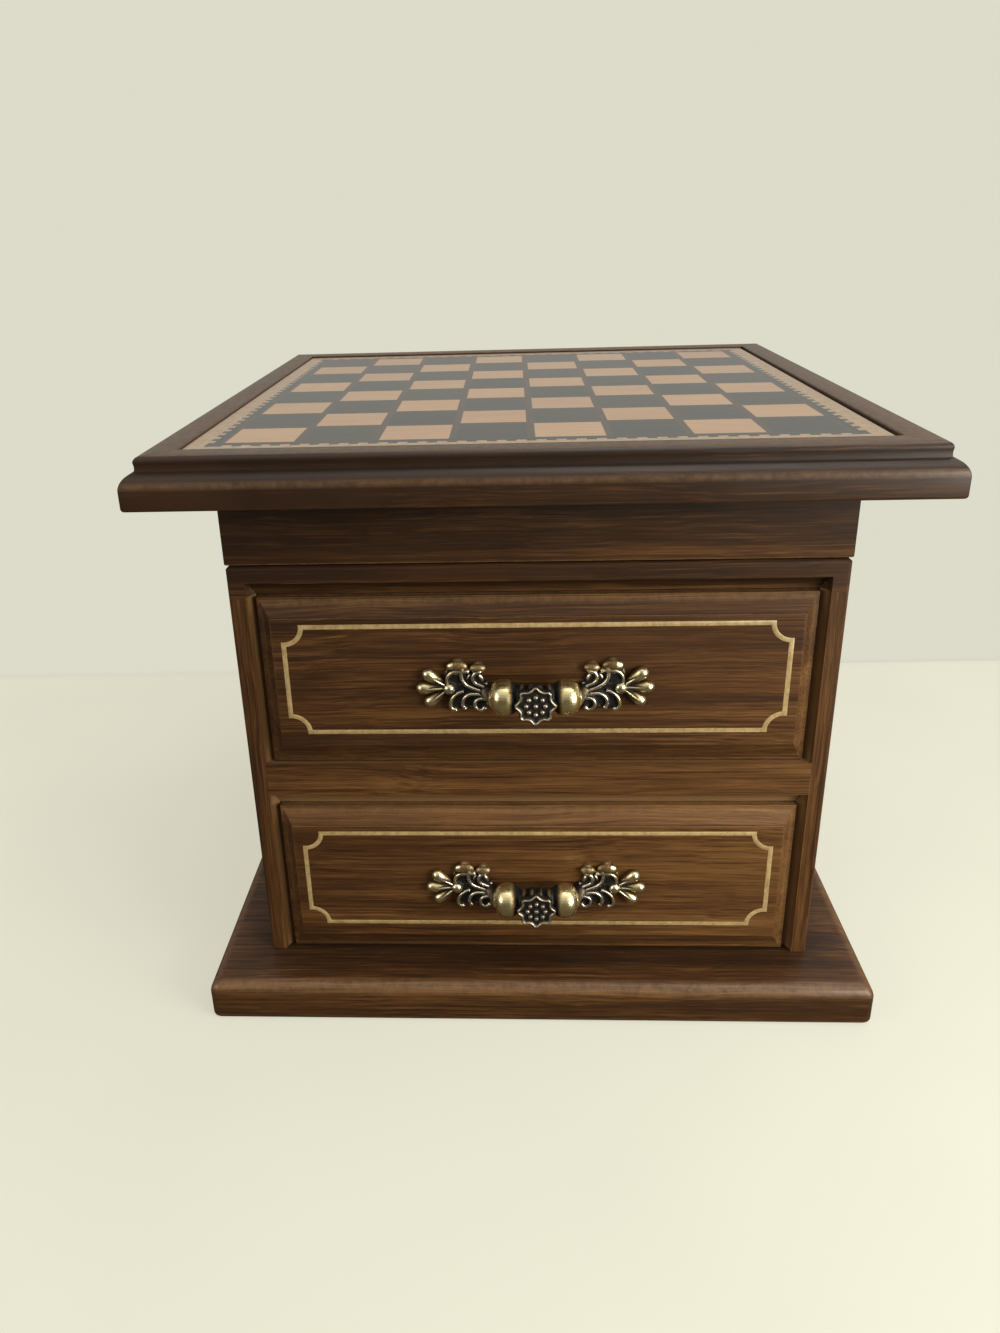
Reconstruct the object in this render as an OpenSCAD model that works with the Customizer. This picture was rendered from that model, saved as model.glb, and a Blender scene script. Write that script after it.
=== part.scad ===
// Chess box: a moulded chess-board lid, hinged at the back, over a case with two drawers.
// Millimetres, +Z up. The origin is the middle of the plinth's underside, the front faces -Y.

/* [Chess board] */
// Pitch of the chess squares
square_size = 25.4; // [22:0.1:32]
// Width of the dark line between two light squares
line_w = 2.5; // [1:0.1:4]
// Width of the dark band round the squares
band_w = 4.2; // [3:0.1:8]
// Width of the light border strip outside the band
border_w = 6.1; // [4:0.1:12]
// Length of the border's small teeth
tooth_l = 1.8; // [0.8:0.1:2.6]
// Thickness of the inlaid layer of squares and border
veneer_t = 1.2; // [0.8:0.1:2]
// Thickness of the board's core
core_t = 6; // [4:0.1:9]
// Gap all round between the loose board and its frame
board_gap = 0.9; // [0.4:0.1:2]
// How far the loose board has slid to the left and to the front
board_slip = 0.6; // [0:0.1:0.8]
// Depth of the playing surface below the top of the frame
recess = 0.8; // [0.2:0.1:2]

/* [Lid frame] */
// Width of the frame's flat top face
frame_face = 10.8; // [8:0.1:20]
// How far the moulding stands out past the top face
frame_proj = 4.3; // [3.8:0.1:6]
// Height of the frame
frame_h = 16.5; // [15:0.1:22]
// Height of the moulding's lower square part
frame_base_h = 6.6; // [5.5:0.1:7.5]
// Radius of the moulding's quarter round
ovolo_r = 5.3; // [3:0.1:5.4]
// Overhang of the frame past the neck and the case
overhang = 22.9; // [16:0.1:30]
// Height of the neck boards under the frame
neck_h = 25.6; // [18:0.1:60]
// Thickness of the neck boards
neck_t = 8; // [7:0.1:12]

/* [Case] */
// Height of each drawer opening
opening_h = 65.7; // [50:0.1:90]
// Height of the rail between the two drawers
rail_h = 18.5; // [15:0.1:26]
// Depth of that rail from front to back
rail_d = 20; // [14:0.5:40]
// Thickness of the case's top board
top_t = 11.5; // [10:0.1:16]
// Thickness of the case's sides
side_t = 8.5; // [7.5:0.1:14]
// Thickness of the case's back
back_t = 8; // [5:0.1:12]
// Height of the hollow over each drawer opening
cove_h = 5.4; // [3:0.1:7]
// Width of the hollow at each side of a drawer opening
cove_w = 2.6; // [1.5:0.1:3.5]
// Depth of those hollows
cove_d = 4.6; // [3:0.1:6]
// Thickness of the panel that parts the two drawers
dust_t = 4; // [3:0.1:6]
// Thickness of the runners under the upper drawer
runner_h = 12; // [9:0.1:14]
// Width of the runners
runner_w = 14; // [8:0.5:30]

/* [Plinth] */
// Thickness of the plinth board
plinth_t = 16.5; // [12:0.1:24]
// How far the plinth stands out past the case
plinth_out = 20.5; // [10:0.1:24]
// Radius of the plinth's rounded upper edge
nosing_r = 4.8; // [2:0.1:8]

/* [Drawers] */
// Gap at each side of a drawer
gap_side = 0.5; // [0.3:0.05:1]
// Gap over a drawer front
gap_top = 0.4; // [0.3:0.05:1.5]
// Gap under a drawer front
gap_bottom = 0.4; // [0.35:0.05:1]
// Running gap under a drawer's sides
gap_run = 0.3; // [0.2:0.05:0.35]
// Gap behind a closed drawer
gap_back = 0.3; // [0.2:0.05:1]
// Thickness of a drawer front behind its thin edge
front_t = 11; // [9:0.1:16]
// How far the front's thin edge lies behind the case
lip_recess = 2; // [0:0.1:3]
// Height of the raised field over the thin edge
field_rise = 3.7; // [2:0.1:6]
// Step between the bevel and the raised field
field_step = 0.5; // [0.2:0.1:1]
// Width of the thin edge in front of the bevel
lip_w = 1.2; // [0.5:0.1:2.5]
// Width of the bevel at each side
bevel_side = 4.6; // [3:0.1:12]
// Width of the bevel along the top
bevel_top = 6.5; // [3:0.1:12]
// Width of the bevel along the bottom
bevel_bottom = 8.4; // [3:0.1:12]
// Height of a drawer's sides
drawer_side_h = 58; // [40:0.5:64]
// Thickness of a drawer's sides
drawer_side_t = 6; // [5:0.1:9]
// Thickness of a drawer's back
drawer_back_t = 6; // [4:0.1:9]
// Thickness of a drawer's bottom panel
drawer_bottom_t = 3.5; // [3:0.1:5]
// Height of the bottom panel above the sides' lower edges
bottom_lift = 3; // [2:0.1:6]
// Thickness of the baize lining
baize_t = 1; // [0.6:0.1:2]

/* [Inlay lines] */
// Width of the inlaid line
inlay_w = 1.9; // [1:0.1:3]
// Depth of the inlaid line
inlay_t = 1; // [0.6:0.1:1.6]
// Line's distance from the field's sides
inlay_side = 4.3; // [2:0.1:12]
// Line's distance from the field's top
inlay_top = 3.2; // [2:0.1:12]
// Line's distance from the field's bottom
inlay_bottom = 5.9; // [2:0.1:12]
// Radius of the notched corners
notch_r = 6.5; // [3:0.1:9]

/* [Pulls] */
// Distance of a leaf's middle bead from the pull's middle
hub_x = 29.7; // [27:0.1:34]
// Distance of a round bulb from the pull's middle
bulb_x = 11.2; // [10.8:0.1:12]
// Radius of the bulbs
bulb_r = 6.3; // [5:0.1:6.6]
// Length of the bulbs
bulb_len = 8.6; // [7:0.1:9]
// Radius of the bar between the bulbs
bar_r = 4; // [3:0.1:4.2]
// Height of the bar's middle line above the drawer front
bow_rise = 9.4; // [9.2:0.1:11]
// Height of the star's face above the drawer front
star_face = 16.6; // [16:0.1:20]
// Radius of the star's points
star_r = 7.3; // [6.5:0.1:8]
// Thickness of the leaf ends
leaf_t = 2.4; // [2:0.1:4]
// Radius of the pull's screws
pull_screw_r = 1.45; // [1.2:0.05:1.6]

/* [Hinges] */
// Length of a hinge
hinge_len = 24; // [18:0.5:40]
// Distance of each hinge from the middle of the box
hinge_x = 62; // [40:0.5:75]
// Width of a hinge leaf on the wood
leaf_w = 6.5; // [6:0.1:6.8]
// Thickness of a hinge leaf
hinge_leaf_t = 1.1; // [0.8:0.1:1.4]
// Radius of the hinge knuckles
knuckle_r = 2.2; // [1.9:0.1:3]
// Radius of the hinge pins
pin_r = 1; // [0.7:0.05:1.1]
// Gap between the closed lid and the case
lid_gap = 0.5; // [0.3:0.05:0.8]

/* [Hidden] */
$fn = 48;

walnut = "#5b3a22";
dark_walnut = "#4a2f1c";
plain_wood = "#b08a5a";
cream = "#d8c69a";
brass = "#b8964f";
green = "#2f5a3c";

squares = 8;
teeth_per_square = 4;
over = 1;          // how far a cutter runs past what it cuts
fit = 0.05;        // radial clearance of a pin, a screw or a bore
swing_gap = 0.3;   // clearance of a hinge knuckle from the other leaf's wood
knuckle_gap = 0.15;

grid_half = squares * square_size / 2;
field_half = grid_half + band_w;
board_half = field_half + border_w;
rebate_half = board_half + board_gap;
frame_half = rebate_half + frame_face + frame_proj;
case_half = frame_half - overhang;
neck_in = case_half - neck_t;
open_half = case_half - side_t;
plinth_half = case_half + plinth_out;

lower_z = plinth_t;
rail_z = lower_z + opening_h;
upper_z = rail_z + rail_h;
top_z = upper_z + opening_h;
case_z = top_z + top_t;
neck_z = case_z + lid_gap;
frame_z = neck_z + neck_h;
lid_z = frame_z + frame_h;
core_z = lid_z - recess - veneer_t - core_t;
veneer_z = core_z + core_t;
ledge_t = core_z - frame_z;

corner_r = 1.2;
plinth_corner_r = 3;
plinth_foot_r = 2;
top_edge_r = 1.6;
arris_r = 0.8;

rail_half = open_half + cove_w;   // the rail's ends are housed in the sides

lip_y = -case_half + lip_recess;
field_y = lip_y - field_rise;
front_back_y = lip_y + front_t;
back_in_y = case_half - back_t;
drawer_end_y = back_in_y - gap_back;
drawer_half = open_half - gap_side;
inner_half = drawer_half - drawer_side_t;
front_h = opening_h - gap_top - gap_bottom;
rabbet = 5;        // how far a drawer's sides run into the front
groove = 3;        // how far the bottom panel runs into the sides and the front
floor_h = bottom_lift + drawer_bottom_t;
back_drop = 4;     // how much lower a drawer's back is than its sides

axis_y = case_half + knuckle_r + swing_gap;
axis_z = case_z + lid_gap / 2;
leaf_air = 0.1;    // half the gap between the two closed leaves

// ---------- helpers ----------

// What a rounding of radius r takes off the corner at the origin of the lower left quadrant
module arris(r) {
    difference() {
        translate([-r, -r]) square(r + over);
        translate([-r, -r]) circle(r = r);
    }
}

// A profile with u pointing to the front and v up, carried along X
module along_x(length) {
    rotate([90, 0, -90]) linear_extrude(length, center = true) children();
}

// A plan view carried up from z = 0
module rounded_plan(half, r, h) {
    linear_extrude(h) {
        square([2 * half, 2 * (half - r)], center = true);
        square([2 * (half - r), 2 * half], center = true);
        for (sx = [-1, 1], sy = [-1, 1])
            translate([sx * (half - r), sy * (half - r)]) circle(r = r);
    }
}

// The quarter of the space that one side of a mitred square keeps, the front one first
module mitre_wedge(h) {
    reach = frame_half + over;
    linear_extrude(h) polygon([[0, 0], [-reach, -reach], [reach, -reach]]);
}

// One side of a mitred square: quarter 0 is the front, 1 the right, 2 the back, 3 the left
module mitred_side(quarter, half, z, h) {
    rotate([0, 0, 90 * quarter]) translate([0, 0, z]) intersection() {
        translate([0, -half, 0]) along_x(2 * frame_half + 2) children();
        translate([0, 0, -over]) mitre_wedge(h + 2 * over);
    }
}

// The hollow round the sides and the top of a drawer opening, mitred at the corners.
// Over the opening its axis lies in front of the case, at the sides it lies inside the opening.
module opening_cove(z0, z1) {
    out = (cove_h * cove_h - cove_d * cove_d) / (2 * cove_d);
    inward = (cove_d * cove_d - cove_w * cove_w) / (2 * cove_w);
    w = 1.3 * cove_w;   // the mitre's line is carried on past the hollow
    h = 1.3 * cove_h;
    top_clip = [[-open_half - w, z1 + h], [-open_half, z1], [-open_half, z1 - h],
        [open_half, z1 - h], [open_half, z1], [open_half + w, z1 + h]];
    side_clip = [[open_half + w, z0], [open_half - w, z0], [open_half - w, z1 - h],
        [open_half, z1], [open_half + w, z1 + h]];
    intersection() {
        translate([0, -case_half - out, z1]) rotate([0, 90, 0])
            cylinder(r = out + cove_d, h = 2 * (open_half + w) + over, center = true);
        translate([0, -case_half + 2 * cove_d, 0]) rotate([90, 0, 0])
            linear_extrude(4 * cove_d) polygon(top_clip);
    }
    for (side = [0, 1]) mirror([side, 0, 0]) intersection() {
        translate([open_half - inward, -case_half, z0])
            cylinder(r = inward + cove_w, h = z1 - z0 + h + over);
        translate([0, -case_half + 2 * cove_d, 0]) rotate([90, 0, 0])
            linear_extrude(4 * cove_d) polygon(side_clip);
    }
}

// A countersunk screw standing on its point, head flush with z = 0
module countersunk_screw(head_r, shank_r, length) {
    head_h = head_r - shank_r;
    rotate_extrude() polygon([[0, 0], [head_r, 0], [shank_r, -head_h], [shank_r, -length + shank_r],
        [0, -length]]);
}

// ---------- plinth and case ----------

plinth_screw_r = 1.8;
plinth_head_r = 3.4;
plinth_screw_len = 32;
plinth_screw_y = 60;

module plinth_profile() {
    difference() {
        translate([-plinth_half, 0]) square([2 * plinth_half, plinth_t]);
        for (side = [0, 1]) mirror([side, 0]) {
            translate([plinth_half, plinth_t]) arris(nosing_r);
            translate([plinth_half, 0]) mirror([0, 1]) arris(plinth_foot_r);
        }
    }
}

module plinth_screw_places() {
    for (sx = [-1, 1], sy = [-1, 1])
        translate([sx * (case_half - side_t / 2), sy * plinth_screw_y, 0]) rotate([180, 0, 0]) children();
}

module plinth() {
    color(walnut) difference() {
        intersection() {
            along_x(2 * plinth_half) plinth_profile();
            rotate([0, 0, 90]) along_x(2 * plinth_half) plinth_profile();
            translate([0, 0, -over]) rounded_plan(plinth_half, plinth_corner_r, plinth_t + 2 * over);
        }
        plinth_screw_places() countersunk_screw(plinth_head_r + fit, plinth_screw_r + fit, plinth_screw_len + fit);
    }
}

module plinth_screws() {
    color(brass) plinth_screw_places() countersunk_screw(plinth_head_r, plinth_screw_r, plinth_screw_len);
}

module case_side() {
    difference() {
        intersection() {
            translate([open_half, -case_half, lower_z]) cube([side_t, 2 * case_half, top_z - lower_z]);
            translate([0, 0, lower_z - over]) rounded_plan(case_half, corner_r, top_z - lower_z + 2 * over);
        }
        translate([0, -case_half - over, rail_z]) cube([rail_half, rail_d + over, rail_h]);
        opening_cove(lower_z - over, rail_z);
        opening_cove(upper_z, top_z);
        plinth_screw_places() countersunk_screw(plinth_head_r, plinth_screw_r + fit, plinth_screw_len + fit);
    }
}

module case_side_right() { color(walnut) case_side(); }

module case_side_left() { color(walnut) mirror([1, 0, 0]) case_side(); }

module case_top() {
    color(walnut) difference() {
        intersection() {
            translate([0, 0, top_z]) rounded_plan(case_half, corner_r, top_t);
            along_x(2 * case_half) top_profile();
            rotate([0, 0, 90]) along_x(2 * case_half) top_profile();
        }
        opening_cove(upper_z, top_z);
        hinge_places() {
            leaf_pocket();
            translate([0, 0, -leaf_air]) leaf_screw_places() rotate([180, 0, 0]) leaf_screw(fit);
        }
    }
}

module top_profile() {
    difference() {
        translate([-case_half, top_z]) square([2 * case_half, top_t]);
        for (side = [0, 1]) mirror([side, 0]) translate([case_half, case_z]) arris(top_edge_r);
    }
}

module case_back() {
    color(dark_walnut) translate([-open_half, back_in_y, lower_z])
        cube([2 * open_half, back_t, top_z - lower_z]);
}

module middle_rail() {
    color(walnut) difference() {
        translate([-rail_half, -case_half, rail_z]) cube([2 * rail_half, rail_d, rail_h]);
        opening_cove(lower_z, rail_z);
        translate([0, 0, dust_z]) linear_extrude(dust_t) square([2 * dust_half, 2 * dust_front], center = true);
    }
}

runner_z = upper_z - runner_h;
dust_z = runner_z + runner_h / 2 - dust_t / 2;
dust_groove = 4;
dust_half = open_half - runner_w + dust_groove;
dust_front = case_half - rail_d + dust_groove;

module runner() {
    difference() {
        translate([open_half - runner_w, -case_half + rail_d, runner_z])
            cube([runner_w, back_in_y + case_half - rail_d, runner_h]);
        translate([0, -case_half, dust_z]) cube([dust_half, 2 * case_half, dust_t]);
    }
}

module runner_right() { color(plain_wood) runner(); }

module runner_left() { color(plain_wood) mirror([1, 0, 0]) runner(); }

module dust_panel() {
    color(plain_wood) translate([-dust_half, -dust_front, dust_z])
        cube([2 * dust_half, back_in_y + dust_front, dust_t]);
}

// ---------- hinges ----------

knuckle_len = (hinge_len - 2 * knuckle_gap) / 3;
leaf_screw_r = 0.9;
leaf_head_r = 1.7;
leaf_screw_len = 7;
leaf_screw_x = hinge_len / 2 - 5;

module hinge_places() {
    for (sx = [-1, 1]) translate([sx * hinge_x, axis_y, axis_z]) children();
}

module leaf_screw_places() {
    for (sx = [-1, 1])
        translate([sx * leaf_screw_x, case_half - leaf_w / 2 - axis_y, 0]) children();
}

// A leaf's screw, pointing up from the leaf's outer face
module leaf_screw(grow) {
    mirror([0, 0, 1]) countersunk_screw(leaf_head_r + grow, leaf_screw_r + grow, leaf_screw_len + grow);
}

// The shallow pocket in the case for the lower leaf, in the hinge's own frame
module leaf_pocket() {
    translate([-hinge_len / 2, case_half - leaf_w - axis_y, -leaf_air - hinge_leaf_t])
        cube([hinge_len, leaf_w + over, hinge_leaf_t + over]);
}

// One leaf below the axis: its plate, its knuckles and its screw holes
module hinge_leaf(knuckles) {
    step = knuckle_len + knuckle_gap;
    difference() {
        union() {
            translate([-hinge_len / 2, case_half - leaf_w - axis_y, -leaf_air - hinge_leaf_t])
                cube([hinge_len, leaf_w, hinge_leaf_t]);
            for (k = knuckles) translate([k * step - knuckle_len / 2, 0, 0]) {
                rotate([0, 90, 0]) cylinder(r = knuckle_r, h = knuckle_len);
                translate([0, case_half - axis_y - 0.1, -leaf_air - hinge_leaf_t])
                    cube([knuckle_len, axis_y - case_half + 0.1, hinge_leaf_t]);
            }
        }
        rotate([0, 90, 0]) cylinder(r = pin_r + fit, h = hinge_len + 2 * over, center = true);
        translate([0, 0, -leaf_air]) leaf_screw_places() mirror([0, 0, 1]) leaf_screw(fit);
    }
}

module case_hinge_leaves() { color(brass) hinge_places() hinge_leaf([-1, 1]); }

module lid_hinge_leaves() { color(brass) hinge_places() mirror([0, 0, 1]) hinge_leaf([0]); }

module hinge_pins() {
    color(brass) hinge_places() rotate([0, 90, 0]) cylinder(r = pin_r, h = hinge_len, center = true);
}

module case_hinge_screws() {
    color(brass) hinge_places() translate([0, 0, -leaf_air]) leaf_screw_places()
        mirror([0, 0, 1]) leaf_screw(0);
}

module lid_hinge_screws() {
    color(brass) hinge_places() translate([0, 0, leaf_air]) leaf_screw_places() leaf_screw(0);
}

// ---------- lid ----------

frame_top_r = 1.8;

// Section of a frame rail: u runs outwards from the rebate's edge, v up from the underside
module frame_profile() {
    out = frame_face + frame_proj;
    difference() {
        union() {
            translate([neck_in - rebate_half, 0]) square([out + rebate_half - neck_in - ovolo_r, ledge_t]);
            square([out, frame_base_h]);
            square([out - ovolo_r, frame_base_h + ovolo_r]);
            translate([out - ovolo_r, frame_base_h]) circle(r = ovolo_r);
            square([frame_face, frame_h]);
        }
        translate([frame_face, frame_h]) arris(frame_top_r);
        translate([out, 0]) mirror([0, 1]) arris(1.5 * arris_r);
    }
}

module frame_rail(quarter) {
    mitred_side(quarter, rebate_half, frame_z, frame_h) frame_profile();
}

module frame_front() { color(walnut) frame_rail(0); }

module frame_right() { color(walnut) frame_rail(1); }

module frame_back() { color(walnut) frame_rail(2); }

module frame_left() { color(walnut) frame_rail(3); }

module neck_profile() {
    difference() {
        translate([-neck_t, 0]) square([neck_t, neck_h]);
        mirror([0, 1]) arris(arris_r);
    }
}

module neck_board(quarter) {
    mitred_side(quarter, case_half, neck_z, neck_h) neck_profile();
}

module neck_front() { color(walnut) neck_board(0); }

module neck_right() { color(walnut) neck_board(1); }

module neck_left() { color(walnut) neck_board(3); }

module neck_back() {
    color(walnut) difference() {
        neck_board(2);
        hinge_places() mirror([0, 0, 1]) {
            leaf_pocket();
            translate([0, 0, -leaf_air]) leaf_screw_places() mirror([0, 0, 1]) leaf_screw(fit);
        }
    }
}

module on_board() {
    translate([-board_slip, -board_slip, 0]) children();
}

module board_core() {
    color(plain_wood) on_board() translate([-board_half, -board_half, core_z])
        cube([2 * board_half, 2 * board_half, core_t]);
}

// The small teeth that the light border pushes into the dark band
module border_teeth() {
    pitch = square_size / teeth_per_square;
    count = squares * teeth_per_square;
    for (quarter = [0:3]) rotate(90 * quarter)
        for (i = [0:count - 1])
            translate([-grid_half + (i + 0.25) * pitch, -field_half - over])
                square([pitch / 2, tooth_l + over]);
}

module light_plan() {
    light = square_size - line_w;
    for (column = [0:squares - 1], row = [0:squares - 1])
        if ((column + row) % 2 == 0)
            translate([column - squares / 2 + 0.5, row - squares / 2 + 0.5] * square_size)
                square(light, center = true);
}

module dark_field() {
    color("#3c3a30") on_board() translate([0, 0, veneer_z]) linear_extrude(veneer_t) difference() {
        square(2 * field_half, center = true);
        border_teeth();
        light_plan();
    }
}

module light_squares() {
    color("#cdb38c") on_board() translate([0, 0, veneer_z]) linear_extrude(veneer_t) light_plan();
}

module board_border() {
    color(cream) on_board() translate([0, 0, veneer_z]) linear_extrude(veneer_t) {
        difference() {
            square(2 * board_half, center = true);
            square(2 * field_half, center = true);
        }
        border_teeth();
    }
}

// ---------- drawers ----------

// Section of a drawer front between two edges a and b, with bevels of width wa and wb
function front_section(a, b, wa, wb) = [
    [-front_back_y, a], [-lip_y, a], [-lip_y, a + lip_w], [-field_y - field_step, a + wa],
    [-field_y, a + wa], [-field_y, b - wb], [-field_y - field_step, b - wb],
    [-lip_y, b - lip_w], [-lip_y, b], [-front_back_y, b]];

// A notched outline round the inlay's middle line, grown or shrunk
module notched_outline(grow) {
    line_w2 = drawer_half - bevel_side - inlay_side;
    z0 = gap_bottom + bevel_bottom + inlay_bottom;
    z1 = gap_bottom + front_h - bevel_top - inlay_top;
    difference() {
        translate([-line_w2 - grow, z0 - grow]) square([2 * (line_w2 + grow), z1 - z0 + 2 * grow]);
        for (sx = [-1, 1], z = [z0, z1]) translate([sx * line_w2, z]) circle(r = notch_r - grow);
    }
}

module inlay_solid(extra) {
    translate([0, field_y + inlay_t, 0]) rotate([90, 0, 0]) linear_extrude(inlay_t + extra) difference() {
        notched_outline(inlay_w / 2);
        notched_outline(-inlay_w / 2);
    }
}

pull_z = gap_bottom + front_h / 2;
pull_head_r = 3.2;
pull_head_h = 2;
pull_bore = 2.6;   // depth of the threaded hole in a pull's leaf

module pull_screw_places() {
    for (sx = [-1, 1]) translate([sx * hub_x, 0, pull_z]) rotate([90, 0, 0]) children();
}

// The drawer's pieces stand on the opening's lower edge, z = 0
module drawer_front() {
    difference() {
        intersection() {
            along_x(2 * drawer_half) polygon(front_section(gap_bottom, gap_bottom + front_h,
                bevel_bottom, bevel_top));
            mirror([0, 1, 0]) linear_extrude(opening_h) polygon([for (p =
                front_section(-drawer_half, drawer_half, bevel_side, bevel_side)) [p[1], p[0]]]);
        }
        for (side = [0, 1]) mirror([side, 0, 0])
            translate([inner_half, front_back_y - rabbet, 0])
                cube([drawer_side_t + over, rabbet + over, gap_run + drawer_side_h]);
        translate([-inner_half - over, front_back_y - groove, gap_run + bottom_lift])
            cube([2 * (inner_half + over), groove + over, drawer_bottom_t]);
        inlay_solid(over);
        translate([0, front_back_y + over, 0]) pull_screw_places()
            cylinder(r = pull_screw_r + 4 * fit, h = front_t + field_rise + 2 * over);
    }
}

module drawer_side() {
    difference() {
        translate([inner_half, front_back_y - rabbet, gap_run])
            cube([drawer_side_t, drawer_end_y - front_back_y + rabbet, drawer_side_h]);
        translate([inner_half - over, front_back_y - rabbet - over, gap_run + bottom_lift])
            cube([groove + over, drawer_end_y - front_back_y + rabbet + 2 * over, drawer_bottom_t]);
    }
}

module drawer_back() {
    translate([-inner_half, drawer_end_y - drawer_back_t, gap_run + floor_h])
        cube([2 * inner_half, drawer_back_t, drawer_side_h - floor_h - back_drop]);
}

module drawer_bottom() {
    translate([-inner_half - groove, front_back_y, gap_run + bottom_lift])
        cube([2 * (inner_half + groove), drawer_end_y - front_back_y, drawer_bottom_t]);
    translate([-inner_half, front_back_y - groove, gap_run + bottom_lift])
        cube([2 * inner_half, groove, drawer_bottom_t]);
}

module drawer_lining() {
    translate([-inner_half, front_back_y, gap_run + floor_h])
        cube([2 * inner_half, drawer_end_y - drawer_back_t - front_back_y, baize_t]);
}

module pull_screws() {
    length = front_t + field_rise + pull_bore - 2 * fit;
    translate([0, front_back_y, 0]) pull_screw_places() {
        cylinder(r = pull_screw_r, h = length);
        translate([0, 0, -pull_head_h]) cylinder(r = pull_head_r, h = pull_head_h);
    }
}

// ---------- pulls ----------

// A leaf is drawn seen from the front: x runs outwards from its middle bead, y up.
tips = [[36, 9.6, 1.9], [0, 10.1, 1.8], [-37, 9.2, 1.7]];   // angle, length and end radius
lobes = [[-2.2, 5, 3.7], [-8.8, 2.4, 3.4], [-3, -4.9, 3.3], [-7, -4.6, 3.2], [-10.9, -4.9, 3.1]];
domes = [[-2.8, 8.2, 2.5], [-10, 7.6, 1.9]];
dome_h = 1.2;
bead_r = 2.2;
rod_r = 0.75;
stem_half = 3;

// Each strand has a start, a heading and its arcs: a radius, to the left if positive, and a sweep
strands = [
    [[-13.6, -1.7], 16, [[40, 10], [5, 62], [6, 20]]],
    [[0.3, 1.4], 60, [[3.5, 120], [60, 3.5]]],
    [[-13.6, 0.1], 20, [[40, 6], [2.6, 64], [2.2, 90]]],
    [[-5, -1.1], -5, [[-5.2, 85], [-2, 80]]],
    [[-13.6, -3], 20, [[-16, 20], [-3.6, 90], [-3, 40]]],
    [[-13.6, -4.4], 22, [[-7, 22], [-2.2, 180], [-1.3, 60]]]];

function turned(angle) = [cos(angle), sin(angle)];
function arc_centre(p, heading, r) = p + r * turned(heading + 90);
function arc_end(p, heading, r, sweep) =
    arc_centre(p, heading, r) + r * turned(heading - 90 + sign(r) * sweep);

knob_grow = 0.2;

// A band along a chain of arcs that run into each other, with a small knob at both ends
module band_chain(p, heading, arcs, i = 0) {
    inside = i > 0 && i < len(arcs);
    translate(p) circle(r = inside ? rod_r - knob_grow : rod_r + knob_grow, $fn = 24);
    if (i < len(arcs)) {
        r = arcs[i][0];
        sweep = arcs[i][1];
        first = r > 0 ? heading - 90 : heading + 90 - sweep;
        translate(arc_centre(p, heading, r)) arc_band(abs(r), first, sweep);
        band_chain(arc_end(p, heading, r, sweep), heading + sign(r) * sweep, arcs, i + 1);
    }
}

// Part of a ring: its wedge of corners is cut from the ring
module arc_band(r, first, sweep) {
    reach = 2 * (r + rod_r);
    steps = ceil(sweep / 60);
    intersection() {
        difference() {
            circle(r = r + rod_r, $fn = 72);
            circle(r = r - rod_r, $fn = 72);
        }
        polygon(concat([[0, 0]], [for (k = [0:steps]) reach * turned(first + sweep * k / steps)]));
    }
}

module leaf_plan() {
    for (tip = tips) rotate(tip[0]) {
        polygon([[0, -1], [tip[1], -tip[2]], [tip[1], tip[2]], [0, 1]]);
        translate([tip[1], 0]) circle(r = tip[2]);
    }
    for (lobe = lobes) translate([lobe[0], lobe[1]]) circle(r = lobe[2]);
    for (dome = domes) translate([dome[0], dome[1]]) circle(r = dome[2]);
    circle(r = bead_r + 0.5);
    translate([-12.6, -stem_half - 1]) square([12.6, 2 * stem_half]);
}

// A round cap of radius r and height h on the plane z = 0
module cap(r, h) {
    ball_r = (r * r + h * h) / (2 * h);
    intersection() {
        translate([0, 0, h - ball_r]) sphere(r = ball_r);
        cylinder(r = r, h = h);
    }
}

// One leaf, from the drawer front's face out along -Y
module pull_leaf() {
    rotate([90, 0, 0]) {
        linear_extrude(leaf_t) leaf_plan();
        translate([0, 0, leaf_t]) {
            cap(bead_r, 1.8);
            for (dome = domes) translate([dome[0], dome[1], 0]) cap(dome[2] - 0.3, dome_h);
            linear_extrude(rod_r) for (strand = strands) band_chain(strand[0], strand[1], strand[2]);
            for (tip = tips) rotate([0, 0, tip[0]]) {
                translate([tip[1], 0, 0]) cap(tip[2] - 0.3, 1.1);
                translate([bead_r / 2, -rod_r, 0]) cube([tip[1] - bead_r / 2, 2 * rod_r, rod_r]);
            }
        }
    }
}

// A cone between two points of the plane z = 0
module taper(p, q, rp, rq) {
    d = q - p;
    translate([p[0], p[1], 0]) rotate([0, 0, atan2(d[1], d[0])]) rotate([0, 90, 0])
        cylinder(r1 = rp, r2 = rq, h = norm(d));
}

arm_drop = -1;

// The arm that rises from a leaf to its bulb
module pull_arm() {
    knee = [hub_x - 9, -2.2];
    top = [bulb_x + bulb_len / 4, -bow_rise];
    translate([knee[0], knee[1], arm_drop]) sphere(r = 2.1);
    translate([0, 0, arm_drop]) taper(knee, top, 2.1, 3.6);
}

// A bulb, round in section and flat at its ends, along X
module pull_bulb() {
    intersection() {
        sphere(r = bulb_r);
        cube([bulb_len, 3 * bulb_r, 3 * bulb_r], center = true);
    }
}

// The star: a disc with eight scallops cut out of its edge
module star_plan(grow) {
    points = 8;
    difference() {
        circle(r = star_r + grow);
        for (i = [0:points - 1]) rotate((i + 0.5) * 360 / points)
            translate([star_r * 1.26, 0]) circle(r = star_r * 0.45 - grow, $fn = 32);
    }
}

star_t = 2.4;
star_rim = 1;
star_bead_r = 0.95;

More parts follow.
